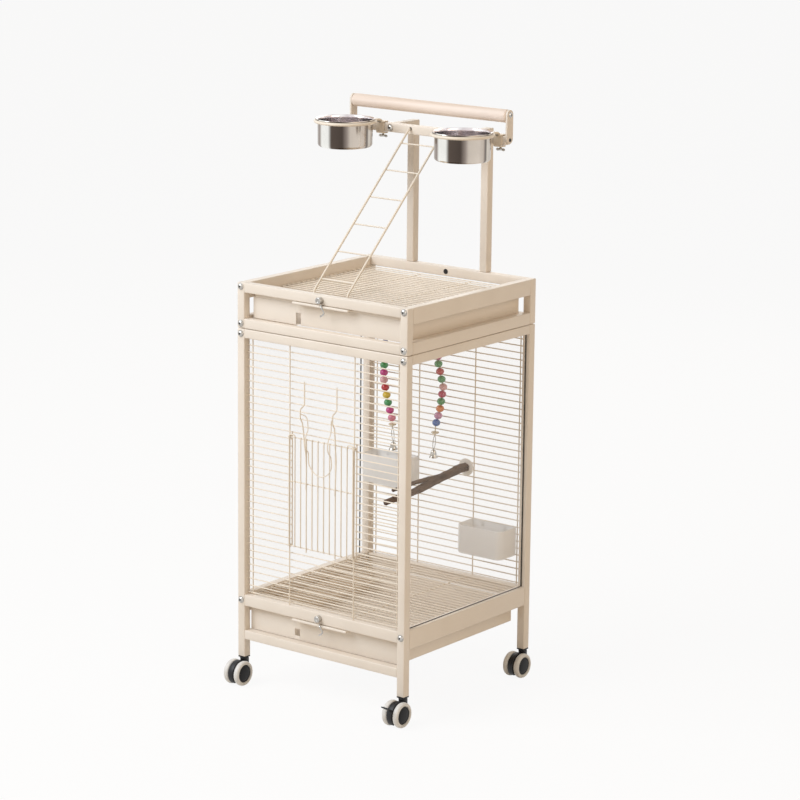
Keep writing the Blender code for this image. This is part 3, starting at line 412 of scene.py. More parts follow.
def finish(name, light, dark, roughness, metallic=0.0, patch=14.0, grain=700.0, depth=0.00003,
           stretch=(1, 1, 1), spread=0.06, **sockets):
    """Principled surface: two near colours by broad noise, fine noise as bump and in the
    roughness."""
    material = bpy.data.materials.new(name)
    material.use_nodes = True
    nodes, links = material.node_tree.nodes, material.node_tree.links
    shader = nodes["Principled BSDF"]
    shader.inputs["Metallic"].default_value = metallic
    for socket, value in sockets.items():
        shader.inputs[socket.replace("_", " ")].default_value = value
    place = shader_node(nodes, "TexCoord")
    turn = shader_node(nodes, "Mapping", Scale=stretch)
    broad = shader_node(nodes, "TexNoise", Scale=patch, Detail=5.0)
    contrast = shader_node(nodes, "MapRange", From_Min=0.3, From_Max=0.7)
    fine = shader_node(nodes, "TexNoise", Scale=grain, Detail=3.0)
    rough = shader_node(nodes, "MapRange", To_Min=roughness - spread, To_Max=roughness + spread)
    bump = shader_node(nodes, "Bump", Distance=depth)
    mix = colour_mix(nodes, "MIX")
    mix.name = "colour"
    mix.inputs["A"].default_value = (*dark, 1.0)
    mix.inputs["B"].default_value = (*light, 1.0)
    for source, target in (
        (place.outputs["Object"], turn.inputs["Vector"]),
        (turn.outputs["Vector"], broad.inputs["Vector"]),
        (broad.outputs["Fac"], contrast.inputs["Value"]),
        (contrast.outputs["Result"], mix.inputs["Factor"]),
        (mix.outputs["Result"], shader.inputs["Base Color"]),
        (turn.outputs["Vector"], fine.inputs["Vector"]),
        (fine.outputs["Fac"], rough.inputs["Value"]),
        (rough.outputs["Result"], shader.inputs["Roughness"]),
        (fine.outputs["Fac"], bump.inputs["Height"]),
        (bump.outputs["Normal"], shader.inputs["Normal"]),
    ):
        links.new(source, target)
    return material


def toned(material):
    """Multiply the surface colour by the piece's own tone attribute: the beads' own colours, and
    painted reflections on the steel cups.
    """
    nodes, links = material.node_tree.nodes, material.node_tree.links
    tone = shader_node(nodes, "Attribute")
    tone.attribute_name = "tone"
    tint = colour_mix(nodes, "MULTIPLY")
    tint.inputs["Factor"].default_value = 1.0
    links.new(tone.outputs["Color"], tint.inputs["A"])
    links.new(nodes["colour"].outputs["Result"], tint.inputs["B"])
    links.new(tint.outputs["Result"], nodes["Principled BSDF"].inputs["Base Color"])
    return material


paint = finish("cream_powder_coat", (0.815, 0.728, 0.628), (0.780, 0.690, 0.588), 0.40,
               grain=1400.0, depth=0.00005)
wire_paint = finish("cream_wire_coat", (0.835, 0.745, 0.625), (0.795, 0.700, 0.575), 0.36,
                    grain=1800.0, depth=0.00004)
sheet_paint = finish("cream_sheet_coat", (0.825, 0.745, 0.650), (0.800, 0.715, 0.615), 0.44,
                     patch=6.0, grain=900.0, depth=0.00004)
zinc = finish("zinc_plate", (0.60, 0.58, 0.55), (0.40, 0.38, 0.35), 0.27, 1.0, patch=180.0,
              grain=2600.0)
nickel = finish("nickel_plate", (0.66, 0.63, 0.58), (0.36, 0.34, 0.31), 0.20, 1.0, patch=120.0,
                grain=1500.0, depth=0.00001, spread=0.03)
black_plastic = finish("black_plastic", (0.016, 0.015, 0.016), (0.008, 0.008, 0.009), 0.46,
                       grain=1600.0, Specular_IOR_Level=0.35)
cap_plastic = finish("black_cap_plastic", (0.009, 0.008, 0.009), (0.004, 0.004, 0.004), 0.42,
                     grain=900.0, depth=0.00001, Specular_IOR_Level=0.22)
tread = finish("pale_tread", (0.78, 0.76, 0.73), (0.68, 0.66, 0.62), 0.50, patch=60.0,
               grain=1300.0)
cord_fibre = finish("cord", (0.72, 0.62, 0.46), (0.55, 0.45, 0.31), 0.85, patch=400.0,
                    grain=4000.0, depth=0.0001)
clear_sheet = finish("clear_acrylic", (0.96, 0.90, 0.86), (0.94, 0.88, 0.84), 0.05, patch=3.0,
                     grain=40.0, depth=0.000005, spread=0.02, Alpha=0.06)
milky = finish("milky_plastic", (0.97, 0.96, 0.95), (0.94, 0.93, 0.91), 0.22, patch=25.0,
               grain=300.0, depth=0.00003, Alpha=0.66)
white_enamel = finish("white_enamel", (0.92, 0.90, 0.86), (0.88, 0.85, 0.80), 0.30, patch=40.0,
                      grain=900.0)
# Dark metal for sockets and holes that show only shade: painted shade
painted_hole_shade = finish("painted_hole_shade_metal", (0.10, 0.09, 0.08), (0.05, 0.045, 0.04), 0.45, 0.7,
                    patch=200.0, grain=2000.0)
# Polished steel: white, multiplied by the tone attribute, which on the cups holds a painted
# highlight and dark reflected bands
steel = toned(finish("polished_steel", (1.0, 1.0, 1.0), (0.90, 0.90, 0.90), 0.15, 1.0,
                     patch=30.0, grain=1400.0, depth=0.00001, spread=0.04))
pale_wood = finish("pale_wood", (0.875, 0.750, 0.655), (0.765, 0.620, 0.505), 0.55, patch=60.0,
                   grain=900.0, depth=0.00012, stretch=(0.05, 1.0, 1.0))
bark = finish("bark", (0.165, 0.108, 0.078), (0.044, 0.027, 0.019), 0.80, patch=85.0,
              grain=600.0, depth=0.0006, stretch=(1.0, 0.45, 1.0))
lacquer = toned(finish("bead_lacquer", (1.0, 1.0, 1.0), (0.86, 0.86, 0.86), 0.26, patch=240.0,
                       grain=1200.0, Coat_Weight=0.5))


# ---- Welded frames of the cage and of the tray module ----
def posts(y, bottom, top):
    """The two posts of a flat frame."""
    return [block((s * POST_X - TUBE / 2, y, bottom), (s * POST_X + TUBE / 2, y + TUBE, top))
            for s in BOTH]


def rails(y, heights):
    """The level tubes between two posts, with a weld bead up each end."""
    made = []
    for k, (low, high) in enumerate(heights):
        made.append(block((-WIRE_REACH, y + SKIN, low), (WIRE_REACH, y + TUBE - SKIN, high)))
        for s in BOTH:
            for z, seed in ((low + 0.0006, k), (high - 0.0006, k + 3)):
                ends = [(s * INNER, y + 0.002, z), (s * INNER, y + TUBE - 0.002, z)]
                made.append(seam(ends, 0.0009, seed))
    return made


def stud(x, y, z, radius=0.0072, length=0.0105):
    """Round latch stud: turned zinc with a domed face and a hollow in its middle."""
    hollow = length - 0.0018
    profile = [(0.0, hollow), (radius * 0.42, hollow), (radius * 0.50, length),
               (radius * 0.86, length), (radius, length - 0.0012), (radius, 0.0), (0.0, -0.001)]
    return turned([(r, y - h) for r, h in profile], (x, 0, z), "Y", 40, soft=0.0005)


def bolt_dome(radius, height):
    """Button head (r, rise): R cos a, H sin a / sin 68 for a up to 68 degrees, then the
    socket in it."""
    a = np.linspace(0, np.radians(68), 7)
    dome = np.stack((radius * np.cos(a), height * np.sin(a) / np.sin(a[-1])), -1)
    socket = [(radius * 0.34, height), (radius * 0.30, height * 0.35), (0.0, height * 0.35)]
    return np.concatenate((dome, socket))


def button_bolt(x, y, z, radius=0.0066, height=0.0038):
    """Button-head bolt that faces the front, on a thin washer."""
    washer = radius * 1.16
    rim = [(0.0, y + 0.001), (washer, y + 0.001), (washer, y - 0.0006),
           (radius * 1.04, y - BOLT_SEAT)]
    head = bolt_dome(radius, height) * (1, -1) + (0, y - BOLT_SEAT)
    return turned(np.concatenate((rim, head)), (x, 0, z), "Y", 32)


def side_bolt(x, y, z, side, radius=0.0060, height=0.0030):
    """Button-head bolt that faces left or right."""
    rim = [(0.0, x - side * 0.001), (radius, x - side * 0.001)]
    head = bolt_dome(radius, height) * (1, side) + (0, x)
    return turned(np.concatenate((rim, head)), (0, y, z), "X", 32)


def socket_shade_disc(x, y, z, radius=0.0066, height=0.0038):
    """Dark disc of painted shade at the bottom of a bolt's socket."""
    level = y - BOLT_SEAT - 0.35 * height
    return disc(radius * 0.30, level + 0.0001, level - 0.0003, (x, 0, z), "Y", 16)


guides = [upright(s * GUIDE_X, GUIDE_Y, PANEL_RAIL[1] - 0.002, BODY_RAIL[0] + 0.002)
          for s in BOTH]
drawer_ledge = block((-WIRE_REACH, 0.0160, LOWEST_RAIL[1] - 0.0014),
                     (WIRE_REACH, 0.0340, LOWEST_RAIL[1] - 0.0002), 0.0004, 1)
dress("front_frame", "cage", {
    paint: (posts(0.0, POST_BOTTOM, BODY_RAIL[1])
            + rails(0.0, (LOWEST_RAIL, PANEL_RAIL, BODY_RAIL)) + [drawer_ledge]),
    wire_paint: guides, zinc: [stud(STUD_X, 0.0, sum(PANEL_RAIL) / 2)],
}, "cream_paint")
dress("rear_frame", "cage", {
    paint: posts(BACK, POST_BOTTOM, BODY_RAIL[1]) + rails(BACK, (PANEL_RAIL, BODY_RAIL)),
}, "cream_paint")
dress("module_front_frame", "cage", {
    paint: posts(0.0, MODULE_RAIL[0], TOP_RAIL[1]) + rails(0.0, (MODULE_RAIL, TOP_RAIL)),
    zinc: [stud(STUD_X, 0.0, sum(TOP_RAIL) / 2)],
}, "cream_paint")
dress("module_rear_frame", "cage", {
    paint: posts(BACK, MODULE_RAIL[0], TOP_RAIL[1]) + rails(BACK, (MODULE_RAIL, TOP_RAIL)),
    # Black disc over the rear top rail's hole: painted shade inside the hole
    black_plastic: [disc(RAIL_HOLE, BACK - 0.0004, BACK + 0.003, (0, 0, sum(TOP_RAIL) / 2),
                         "Y", 28)],
}, "cream_paint")

for s, tag in SIDES:
    # The dark discs in the bolts' sockets are painted shade
    piece("post_bolts_" + tag, "cage", {
        zinc: [button_bolt(s * BOLT_X, 0.0, z) for z in BOLT_HEIGHTS],
        painted_hole_shade: [socket_shade_disc(s * BOLT_X, 0.0, z) for z in BOLT_HEIGHTS],
    }, slot="zinc_plate")

PLUG = (0.0574, 0.0602)
PLUG_HALF = 0.0092
plugs = [block((s * POST_X - PLUG_HALF, y + 0.0003, PLUG[0]),
               (s * POST_X + PLUG_HALF, y + TUBE - 0.0003, PLUG[1]), 0.0007, 2)
         for s in BOTH for y in (0.0, BACK)]
piece("post_plugs", "cage", {black_plastic: plugs}, slot="black_plastic")


def side_bar(side, heights, strips=()):
    """Tube between the front and back posts, with strips along its inner face."""
    x = side * POST_X
    made = [block((x - TUBE / 2, TUBE + GAP, heights[0]),
                  (x + TUBE / 2, BACK - GAP, heights[1]), 0.0016)]
    for reach, low, high in strips:
        a, b = sorted((side * (INNER + 0.002), side * (INNER - reach)))
        made.append(block((a, 0.024, low), (b, BACK - 0.006, high), 0.0004, 1))
    return made


DRAWER_RIM_Z = 0.1718
LEDGE_TOP_Z = 0.8003
FLOOR_Z = 0.1958
TOP_GRILLE_Z = 0.8516
FLOOR_STRIPS = ((0.010, DRAWER_RIM_Z - 0.0023, DRAWER_RIM_Z - GAP),
                (0.007, FLOOR_Z - 0.0018, FLOOR_Z - GAP))
LEDGE_STRIPS = ((0.010, LEDGE_TOP_Z - 0.0020, LEDGE_TOP_Z),)
TOP_STRIPS = ((0.007, TOP_GRILLE_Z - 0.0018, TOP_GRILLE_Z - GAP),)
for s, tag in SIDES:
    for node, heights, strips in (
        ("side_rail_bottom_", SIDE_RAIL_BOTTOM, FLOOR_STRIPS),
        ("side_rail_top_", BODY_RAIL, ()),
        ("module_side_rail_", MODULE_SIDE_RAIL, LEDGE_STRIPS),
        ("module_side_plate_", MODULE_PLATE, TOP_STRIPS),
    ):
        dress(node + tag, "cage", {paint: side_bar(s, heights, strips)}, "cream_paint")


# ---- Wire panels and grilles ----
def front_panel():
    """Level wires at every pitch, cut where the door is, with upright wires behind them."""
    made = []
    in_door = (WIRE_HEIGHTS > DOOR_BOTTOM) & (WIRE_HEIGHTS < DOOR_TOP)
    for z, cut in zip(WIRE_HEIGHTS, in_door):
        spans = [(-WIRE_REACH, WIRE_REACH)]
        if cut:
            spans = [(-WIRE_REACH, WIRE - GUIDE_X), (GUIDE_X - WIRE, WIRE_REACH)]
        made += [straight((a, FRONT_WIRE_Y, z), (b, FRONT_WIRE_Y, z), WIRE) for a, b in spans]
    y = FRONT_WIRE_Y + WELD_STEP
    low = WIRE_HEIGHTS[in_door].min() - PITCH - WIRE
    high = WIRE_HEIGHTS[in_door].max() + PITCH + WIRE
    for s in BOTH:
        for x, start, end in ((OUTER_WIRE_X, PANEL_RAIL[1], BODY_RAIL[0]), (GUIDE_X, low, high)):
            made.append(upright(s * x, y, start, end))
    return made


def back_panel():
    """Level wires at every pitch with four upright wires welded behind them."""
    made = [across(WIRE_REACH, BACK_WIRE_Y, z) for z in WIRE_HEIGHTS]
    return made + [upright(x, BACK_WIRE_Y + WELD_STEP, PANEL_RAIL[1], BODY_RAIL[0])
                   for x in (-OUTER_WIRE_X, -BACK_WIRE_X, BACK_WIRE_X, OUTER_WIRE_X)]


def grille(level, start):
    """Level grille: wires from side to side between two border wires, on two cross wires."""
    end = BACK - 0.0022
    z = level + WIRE
    edge = INNER - GAP - WIRE
    rows = np.linspace(start, end, int((end - start) / PITCH) + 1)
    made = [across(edge, y, z) for y in rows]
    for s in BOTH:
        for x, height in ((edge, z), (GRILLE_CROSS_X, z - WELD_STEP)):
            made.append(straight((s * x, start - WIRE, height), (s * x, end + WIRE, height), WIRE))
    return made


dress("front_wire_panel", "cage", {wire_paint: front_panel()}, "cream_wire")
dress("back_wire_panel", "cage", {wire_paint: back_panel()}, "cream_wire")
dress("floor_grille", "cage", {wire_paint: grille(FLOOR_Z, TUBE + 0.0030)}, "cream_wire")
dress("top_grille", "cage", {wire_paint: grille(TOP_GRILLE_Z, TUBE + 0.0050)}, "cream_wire")


def painted_panel_edge_shade(side, rear):
    """Dark strips of painted shade on the cut edges of a clear panel, as far as they show."""
    low_x, high_x = side * POST_X - 0.0013, side * POST_X + 0.0013
    made = [block((low_x, rear - 0.0016, 0.2016), (high_x, rear, 0.7580), 0.0004, 2)]
    if side > 0:
        for front, low, high in ((0.0196, 0.2012, 0.2021), (0.4040, 0.7572, 0.7583)):
            made.append(block((low_x, front, low), (high_x, rear - 0.0018, high), 0.0003, 2))
    return made


# Black strips along the clear panels' edges stand for the shade seen there: painted shade
for s, tag, rear in ((-1, "left", 0.4062), (1, "right", 0.4244)):
    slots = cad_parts["clear_panel_" + tag].data.materials
    slots.clear()
    slots.append(clear_sheet)
    piece("painted_panel_edge_shade_" + tag, "cage", {black_plastic: painted_panel_edge_shade(s, rear)}, slot="black_plastic")


# ---- Door with its four eyes, arms and spring wire ----
ARM_PATH = (
    (0.0390, 0.0004, 0.500), (0.0405, 0.0000, 0.535), (0.0415, -0.0040, 0.560),
    (0.0420, -0.0060, 0.585), (0.0428, -0.0090, 0.604), (0.0430, -0.0155, 0.615),
    (0.0430, -0.0155, 0.633), (0.0430, -0.0070, 0.6375), (0.0430, -0.0019, 0.6415),
    (0.0430, -0.0019, 0.690),
)
SPRING_PATH = (
    (0.0428, -0.0150, 0.624), (0.0330, -0.0070, 0.616), (0.0305, -0.0055, 0.592),
    (0.0300, -0.0120, 0.580), (0.0300, -0.0155, 0.566), (0.0300, -0.0130, 0.5515),
    (0.0300, -0.0045, 0.540), (0.0300, -0.0030, 0.517), (0.0200, -0.0020, 0.502),
    (0.0060, -0.0020, 0.4945),
)
ARM_SHIFT = 0.0025
HOOP_RISE = 0.0062
EYE_RADIUS = 0.0032


def bar_x(index):
    """Place across the door of one of its upright wires."""
    return (index - (DOOR_BARS - 1) / 2) * DOOR_BAR_PITCH


def door():
    """Upright bars on three cross wires, coiled eyes at the corners, and the two arms and
    the spring wire above them."""
    y, cross_y = DOOR_BAR_Y, DOOR_BAR_Y + WELD_STEP
    foot_z = DOOR_BOTTOM - WIRE
    made = []
    for k in range(2, DOOR_BARS - 2):
        foot = 0.007 if k in (3, DOOR_BARS - 4) else 0.0
        bar = [(bar_x(k), y, foot_z - foot), (bar_x(k), y, DOOR_TOP + 0.0010),
               (bar_x(k), y + 0.0008, DOOR_TOP + 0.0030)]
        made.append(wire(bar, WIRE, up=(1, 0, 0)))
    for s in BOTH:
        outer, inner = s * bar_x(DOOR_BARS - 1), s * bar_x(DOOR_BARS - 2)
        hoop = [(outer, y, foot_z), (outer, y, DOOR_TOP + HOOP_RISE),
                (inner, y, DOOR_TOP + HOOP_RISE), (inner, y, foot_z)]
        made.append(wire(eased_path(hoop, 0.0060, 6), WIRE, up=(0, 1, 0)))
    made += [across(GUIDE_X - 0.0031, cross_y, z) for z in (DOOR_BOTTOM, DOOR_MIDDLE, DOOR_TOP)]
    for s in BOTH:
        for z in (DOOR_BOTTOM, DOOR_TOP):
            made.append(wire(coil((s * GUIDE_X, GUIDE_Y, z), EYE_RADIUS, 0.0021, 2.5), 0.0009))
        arm = [(s * bar_x(DOOR_BARS - 4), y - 0.0012, DOOR_MIDDLE - 0.012)]
        arm += [(s * x + ARM_SHIFT, front, z) for x, front, z in ARM_PATH]
        made.append(wire(eased_path(arm, 0.0024, 4), WIRE * 1.02, up=(1, 0, 0)))
    spring = [(ARM_SHIFT + x, front, z) for x, front, z in SPRING_PATH]
    spring += [(ARM_SHIFT - x, front, z) for x, front, z in SPRING_PATH[::-1]]
    made.append(wire(through(spring, 150), 0.0011, up=(0, 1, 0)))
    return made


dress("door", "door", {wire_paint: door()}, "cream_wire")


# ---- Trays and their hook latches ----
TRAY_FRONT = 0.0193
TRAY_BACK = 0.4205
SHEET = 0.0012
LIP_HALF = 0.0735
LIP_FRONT = -0.0040
LIP_HEIGHT = 0.0045
UPPER_HALF = 0.2017
UPPER_LOW = 0.8008
UPPER_WALL_TOP = 0.8458
UPPER_FACE_TOP = 0.8545
UPPER_CORNER = 0.010
DRAWER_HALF = 0.1945
DRAWER_LOW = 0.1208
DRAWER_RIM = (DRAWER_RIM_Z, 0.1733)
DRAWER_FACE_TOP = 0.1735
DRAWER_FACE_HALF = 0.2038
DRAWER_HOLE = (0.1290, 0.1445)


def tray_wall(path, low, high, corner):
    """Standing sheet: a thin upright section swept along an eased path (x, y)."""
    middle = (low + high) / 2
    run = eased_path([(x, y, middle) for x, y in path], corner, 7)
    return sweep(run, soft_rectangle(SHEET, high - low, 0.0004), up=(0, 0, 1))


def tray_floor(half, front, corner, low):
    """Bottom sheet: a rounded rectangle with the given corner radius."""
    back = TRAY_BACK - 0.0002
    outline = soft_rectangle(2 * half, back - front, corner, 6) + (0.0, (front + back) / 2)
    return plate(outline, low, low + SHEET, "Z", 0.0004)


def pull_lip(face_top):
    """Rounded lip to pull a tray by, along the middle of its face."""
    return block((-LIP_HALF, LIP_FRONT, face_top - LIP_HEIGHT),
                 (LIP_HALF, TRAY_FRONT + 0.001, face_top), 0.0014, 4)


def upper_tray():
    """Deep tray: one wall bent all round it, open at the slot in front, with a higher front
    and a pull lip."""
    left, right, slot_top = -0.0814, -0.0680, 0.8267
    x, front, back = UPPER_HALF - SHEET / 2, TRAY_FRONT + SHEET / 2, TRAY_BACK - SHEET / 2
    ring = [(left, front), (-x, front), (-x, back), (x, back), (x, front), (right, front)]
    straight_half = UPPER_HALF - UPPER_CORNER
    return [
        tray_wall(ring, UPPER_LOW, UPPER_WALL_TOP, UPPER_CORNER),
        tray_floor(UPPER_HALF - 0.0002, TRAY_FRONT + 0.0002, UPPER_CORNER, UPPER_LOW),
        block((left - 0.0004, TRAY_FRONT, slot_top),
              (right + 0.0004, TRAY_FRONT + SHEET, UPPER_WALL_TOP), 0.0003, 2),
        block((-straight_half, TRAY_FRONT, UPPER_WALL_TOP - 0.0010),
              (straight_half, TRAY_FRONT + SHEET, UPPER_FACE_TOP), 0.0004, 2),
        pull_lip(UPPER_FACE_TOP),
    ]


def lower_drawer():
    """Drawer: walls under a rim that slides on runners, a wider face with a square hole and
    a pull lip."""
    left, right, low, top = -0.0821, -0.0684, DRAWER_LOW, DRAWER_FACE_TOP
    x, front, back = DRAWER_HALF - SHEET / 2, TRAY_FRONT + SHEET, TRAY_BACK - SHEET / 2
    made = [
        tray_wall([(-x, front), (-x, back), (x, back), (x, front)], low, DRAWER_RIM[1], 0.003),
        tray_floor(DRAWER_HALF - 0.0002, front, 0.003, low),
        pull_lip(top),
    ]
    for a, b, c, d in (
        (-DRAWER_FACE_HALF, left, low, top), (right, DRAWER_FACE_HALF, low, top),
        (left - 0.0006, right + 0.0006, low, DRAWER_HOLE[0]),
        (left - 0.0006, right + 0.0006, DRAWER_HOLE[1], top),
    ):
        made.append(block((a, TRAY_FRONT, c), (b, TRAY_FRONT + 0.0018, d), 0.0003, 2))
    for s in BOTH:
        a, b = sorted((s * (DRAWER_HALF - 0.0004), s * 0.2047))
        made.append(block((a, 0.0243, DRAWER_RIM[0]), (b, 0.4235, DRAWER_RIM[1]), 0.0004, 2))
    return made


dress("upper_tray", "upper_tray", {sheet_paint: upper_tray()}, "tray_paint")
dress("lower_drawer", "lower_drawer", {sheet_paint: lower_drawer()}, "tray_paint")


def latch(rail):
    """Flat bent hook: a rounded strip swept along its middle line, on a pin with a domed
    head."""
    pin_x, pin_z = 0.006, rail[0] - 0.0033
    spine = [(0.0050, pin_z + 0.0056), (pin_x, pin_z), (0.0110, pin_z - 0.0065),
             (0.0142, pin_z - 0.0098), (0.0100, pin_z - 0.0160), (0.0038, pin_z - 0.0190)]
    path = eased_path([(x, -0.0057, z) for x, z in spine], 0.0022, 4)
    head = [(0.0, -0.0078), (0.0016, -0.0074), (0.0024, -0.0064), (0.0024, -0.0040),
            (0.0, -0.0040)]
    return [sweep(path, soft_rectangle(0.0034, 0.0016, 0.0005), up=(0, 1, 0)),
            turned(head, (pin_x, 0, pin_z), "Y", 24)]


dress("upper_tray_latch", "upper_latch", {zinc: latch(TOP_RAIL)}, "zinc_plate")
dress("lower_drawer_latch", "lower_latch", {zinc: latch(PANEL_RAIL)}, "zinc_plate")


# ---- Play stand ----
def stand_post(side):
    """Upright tube on the module's rear rail and the short arm welded to its top."""
    a, b = side * STAND_X - TUBE / 2, side * STAND_X + TUBE / 2
    weld = [(side * STAND_X + reach, BACK, STAND_TOP - TUBE) for reach in (-0.007, 0.007)]
    return [
        block((a, BACK, TOP_RAIL[1] + GAP), (b, DEPTH, STAND_TOP)),
        block((a + SKIN, CROSS_Y + TUBE / 2 + GAP, STAND_TOP - TUBE),
              (b - SKIN, BACK + SINK, STAND_TOP - SKIN)),
        seam(weld, 0.0011, 2),
    ]


def dowel_bracket(side):
    """Flat bar with round ends, from under the cross tube to the dowel."""
    foot = arc((CROSS_Y, BRACKET_BOTTOM + BRACKET_HALF), BRACKET_HALF, 180, 360, 17)
    head = arc((CROSS_Y, DOWEL_Z + BRACKET_RISE), BRACKET_HALF, 0, 180, 17)
    start, end = sorted((side * (CROSS_HALF + GAP), side * BRACKET_FACE))
    return plate(np.concatenate((foot, head)), start, end, "X", 0.0009)


BRACKET_FACE = CROSS_HALF + GAP + BRACKET_THICK
for s, tag in SIDES:
    dress("stand_post_" + tag, "cage", {paint: stand_post(s)}, "cream_paint")
    dress("dowel_bracket_" + tag, "cage", {paint: [dowel_bracket(s)]}, "cream_paint")
dress("cross_tube", "cage", {paint: [block(
    (-CROSS_HALF, CROSS_FRONT, STAND_TOP - TUBE), (CROSS_HALF, CROSS_Y + TUBE / 2, STAND_TOP)
)]}, "cream_paint")

cross_z = STAND_TOP - TUBE / 2
piece("stand_bolts", "cage", {
    zinc: ([button_bolt(s * STAND_X, CROSS_FRONT, cross_z) for s in BOTH]
           + [side_bolt(s * BRACKET_FACE, CROSS_Y, DOWEL_Z + BRACKET_RISE, s) for s in BOTH]),
    # Painted shade: dark discs in the sockets, dark heads where the brackets' lower holes show
    # black, and dark discs for the holes at the ladder's top
    painted_hole_shade: ([socket_shade_disc(s * STAND_X, CROSS_FRONT, cross_z) for s in BOTH]
                 + [side_bolt(s * BRACKET_FACE, CROSS_Y, BRACKET_BOLT_Z, s, 0.0040, 0.0022)
                    for s in BOTH]
                 + [disc(0.0034, 0.0, -0.0004, (s * LADDER_X, CROSS_FRONT, LADDER_TOP_Z), "Y", 20)
                    for s in BOTH]),
}, slot="zinc_plate")

half_dowel = [(0.0, 0.0), (DOWEL_RADIUS - 0.003, 0.0), (DOWEL_RADIUS, 0.0035),
              (DOWEL_RADIUS, 0.02)]
dowel = ([(r, CROSS_HALF - h) for r, h in half_dowel]
         + [(r, h - CROSS_HALF) for r, h in half_dowel[::-1]])
dress("dowel", "cage", {pale_wood: [turned(dowel, (0, CROSS_Y, DOWEL_Z), "X", 56, soft=0.0018)]},
      "pale_wood")


# ---- Clamp rings, wing screws and steel cups ----
def clamp_ring(side):
    """Ring of wire, the strap that ties it to the clamp, and the strap bent round the tube."""
    cx = side * CUP_X
    sx = cx + CLAMP_SHIFT
    loop = np.column_stack((circle(96, RING_RADIUS) + (cx, CUP_Y), np.full(96, RING_Z)))
    half = CLAMP_PLATE / 2
    top = STAND_TOP + GAP + half
    bend = [(sx, CLAMP_REACH, top), (sx, CLAMP_FRONT + half, top),
            (sx, CLAMP_FRONT + half, JAW_Z + half), (sx, CLAMP_REACH, JAW_Z + half)]
    tie = [(sx, CLAMP_FRONT - 0.0215, RING_Z), (sx, CLAMP_FRONT - 0.006, RING_Z),
           (sx, CLAMP_FRONT + half, RING_Z - 0.005)]
    edge = sx + CLAMP_WIDTH / 2
    barrel = [(x, CLAMP_FRONT - 0.0006, top + 0.0008) for x in (edge - 0.007, edge + 0.001)]
    return [
        wire(loop, RING_WIRE, sides=14, ring=True),
        sweep(eased_path(bend, 0.0030, 5), soft_rectangle(CLAMP_WIDTH, CLAMP_PLATE, 0.0007),
              up=(0, 0.4, 1)),
        sweep(eased_path(tie, 0.004, 4), soft_rectangle(0.014, 0.0036, 0.0012), up=(0, 0.3, 1)),
        straight(*barrel, 0.0024, 14),
    ]


def wing_screw(side):
    """Shank whose radius waves as a thread, a waisted boss and two rounded wings."""
    x = side * CUP_X + CLAMP_SHIFT
    top = STAND_TOP - TUBE - GAP
    h = np.linspace(top, JAW_Z - 0.002, 60)
    thread = np.stack((0.0021 + 0.00022 * np.sin(2 * np.pi * h / 0.0008), h), -1)
    boss = [(0.0030, JAW_Z - 0.003), (0.0044, JAW_Z - 0.0045), (0.0040, JAW_Z - 0.0078),
            (0.0, JAW_Z - 0.0082)]
    wings = [ball((x + s * 0.0070, CROSS_Y, JAW_Z - 0.0062), (0.0050, 0.0011, 0.0030))
             for s in BOTH]
    return [turned(np.concatenate(([(0.0, top)], thread, boss)), (x, CROSS_Y, 0), "Z", 20)] + wings


def steel_cup(side):
    """Spun cup: inner wall, rolled rim, outer wall and pressed foot in one profile."""
    r, seat = CUP_RADIUS, RING_Z + RING_WIRE + GAP
    floor = seat - CUP_HEIGHT
    inside = [(0.0, floor + 0.0022), (0.030, floor + 0.0020), (r - 0.0055, floor + 0.0013),
              (r - 0.0018, floor + 0.0050), (r - 0.0012, seat - 0.0020),
              (r - 0.0006, seat + 0.0006)]
    lip = arc((r + 0.0036, seat + 0.0011), 0.0011, 150, -90, 9)
    outside = [(r, seat + 0.0001), (r - 0.0002, seat - 0.003), (r - 0.0006, floor + 0.0045),
               (r - 0.0042, floor + 0.0003), (r - 0.010, floor), (0.030, floor + 0.0010),
               (0.0, floor + 0.0012)]
    profile = np.concatenate((eased_path(inside, 0.0032, 5), lip, eased_path(outside, 0.0032, 5)))
    return turned(profile, (side * CUP_X, CUP_Y, 0), "Z", CUP_SIDES)


# Painted reflection bands round a polished cup, a painted highlight among dark and light reflected
# bands: share of the way across its front, and the tone there
PAINTED_REFLECTION_BANDS = (
    (0.00, (0.36, 0.31, 0.27)), (0.05, (0.30, 0.25, 0.22)), (0.08, (0.98, 0.98, 0.94)),
    (0.20, (0.98, 0.98, 0.94)), (0.25, (0.11, 0.085, 0.07)), (0.46, (0.08, 0.062, 0.052)),
    (0.54, (0.30, 0.25, 0.22)), (0.60, (0.62, 0.55, 0.48)), (0.78, (0.70, 0.62, 0.54)),
    (0.86, (0.60, 0.52, 0.45)), (0.90, (0.12, 0.10, 0.09)), (0.93, (0.72, 0.66, 0.58)),
    (1.00, (0.42, 0.36, 0.31)),
)
INNER_PAINTED_REFLECTION_BANDS = (
    (0.00, (0.95, 0.92, 0.92)), (0.25, (0.66, 0.60, 0.61)), (0.42, (0.98, 0.96, 0.96)),
    (0.52, (0.74, 0.68, 0.69)), (0.80, (0.96, 0.92, 0.92)), (1.00, (0.80, 0.74, 0.75)),
)
# Angle round the cup from which the painted reflection bands are laid out
REFLECTION_BAND_AXIS = math.radians(-52.3)
INNER_SHARE = 0.42


def banded(bands, share):
    """Tones between the given bands, straight from one share to the next."""
    places = [place for place, tone in bands]
    return np.stack([np.interp(share, places, [tone[k] for place, tone in bands])
                     for k in range(3)], -1)


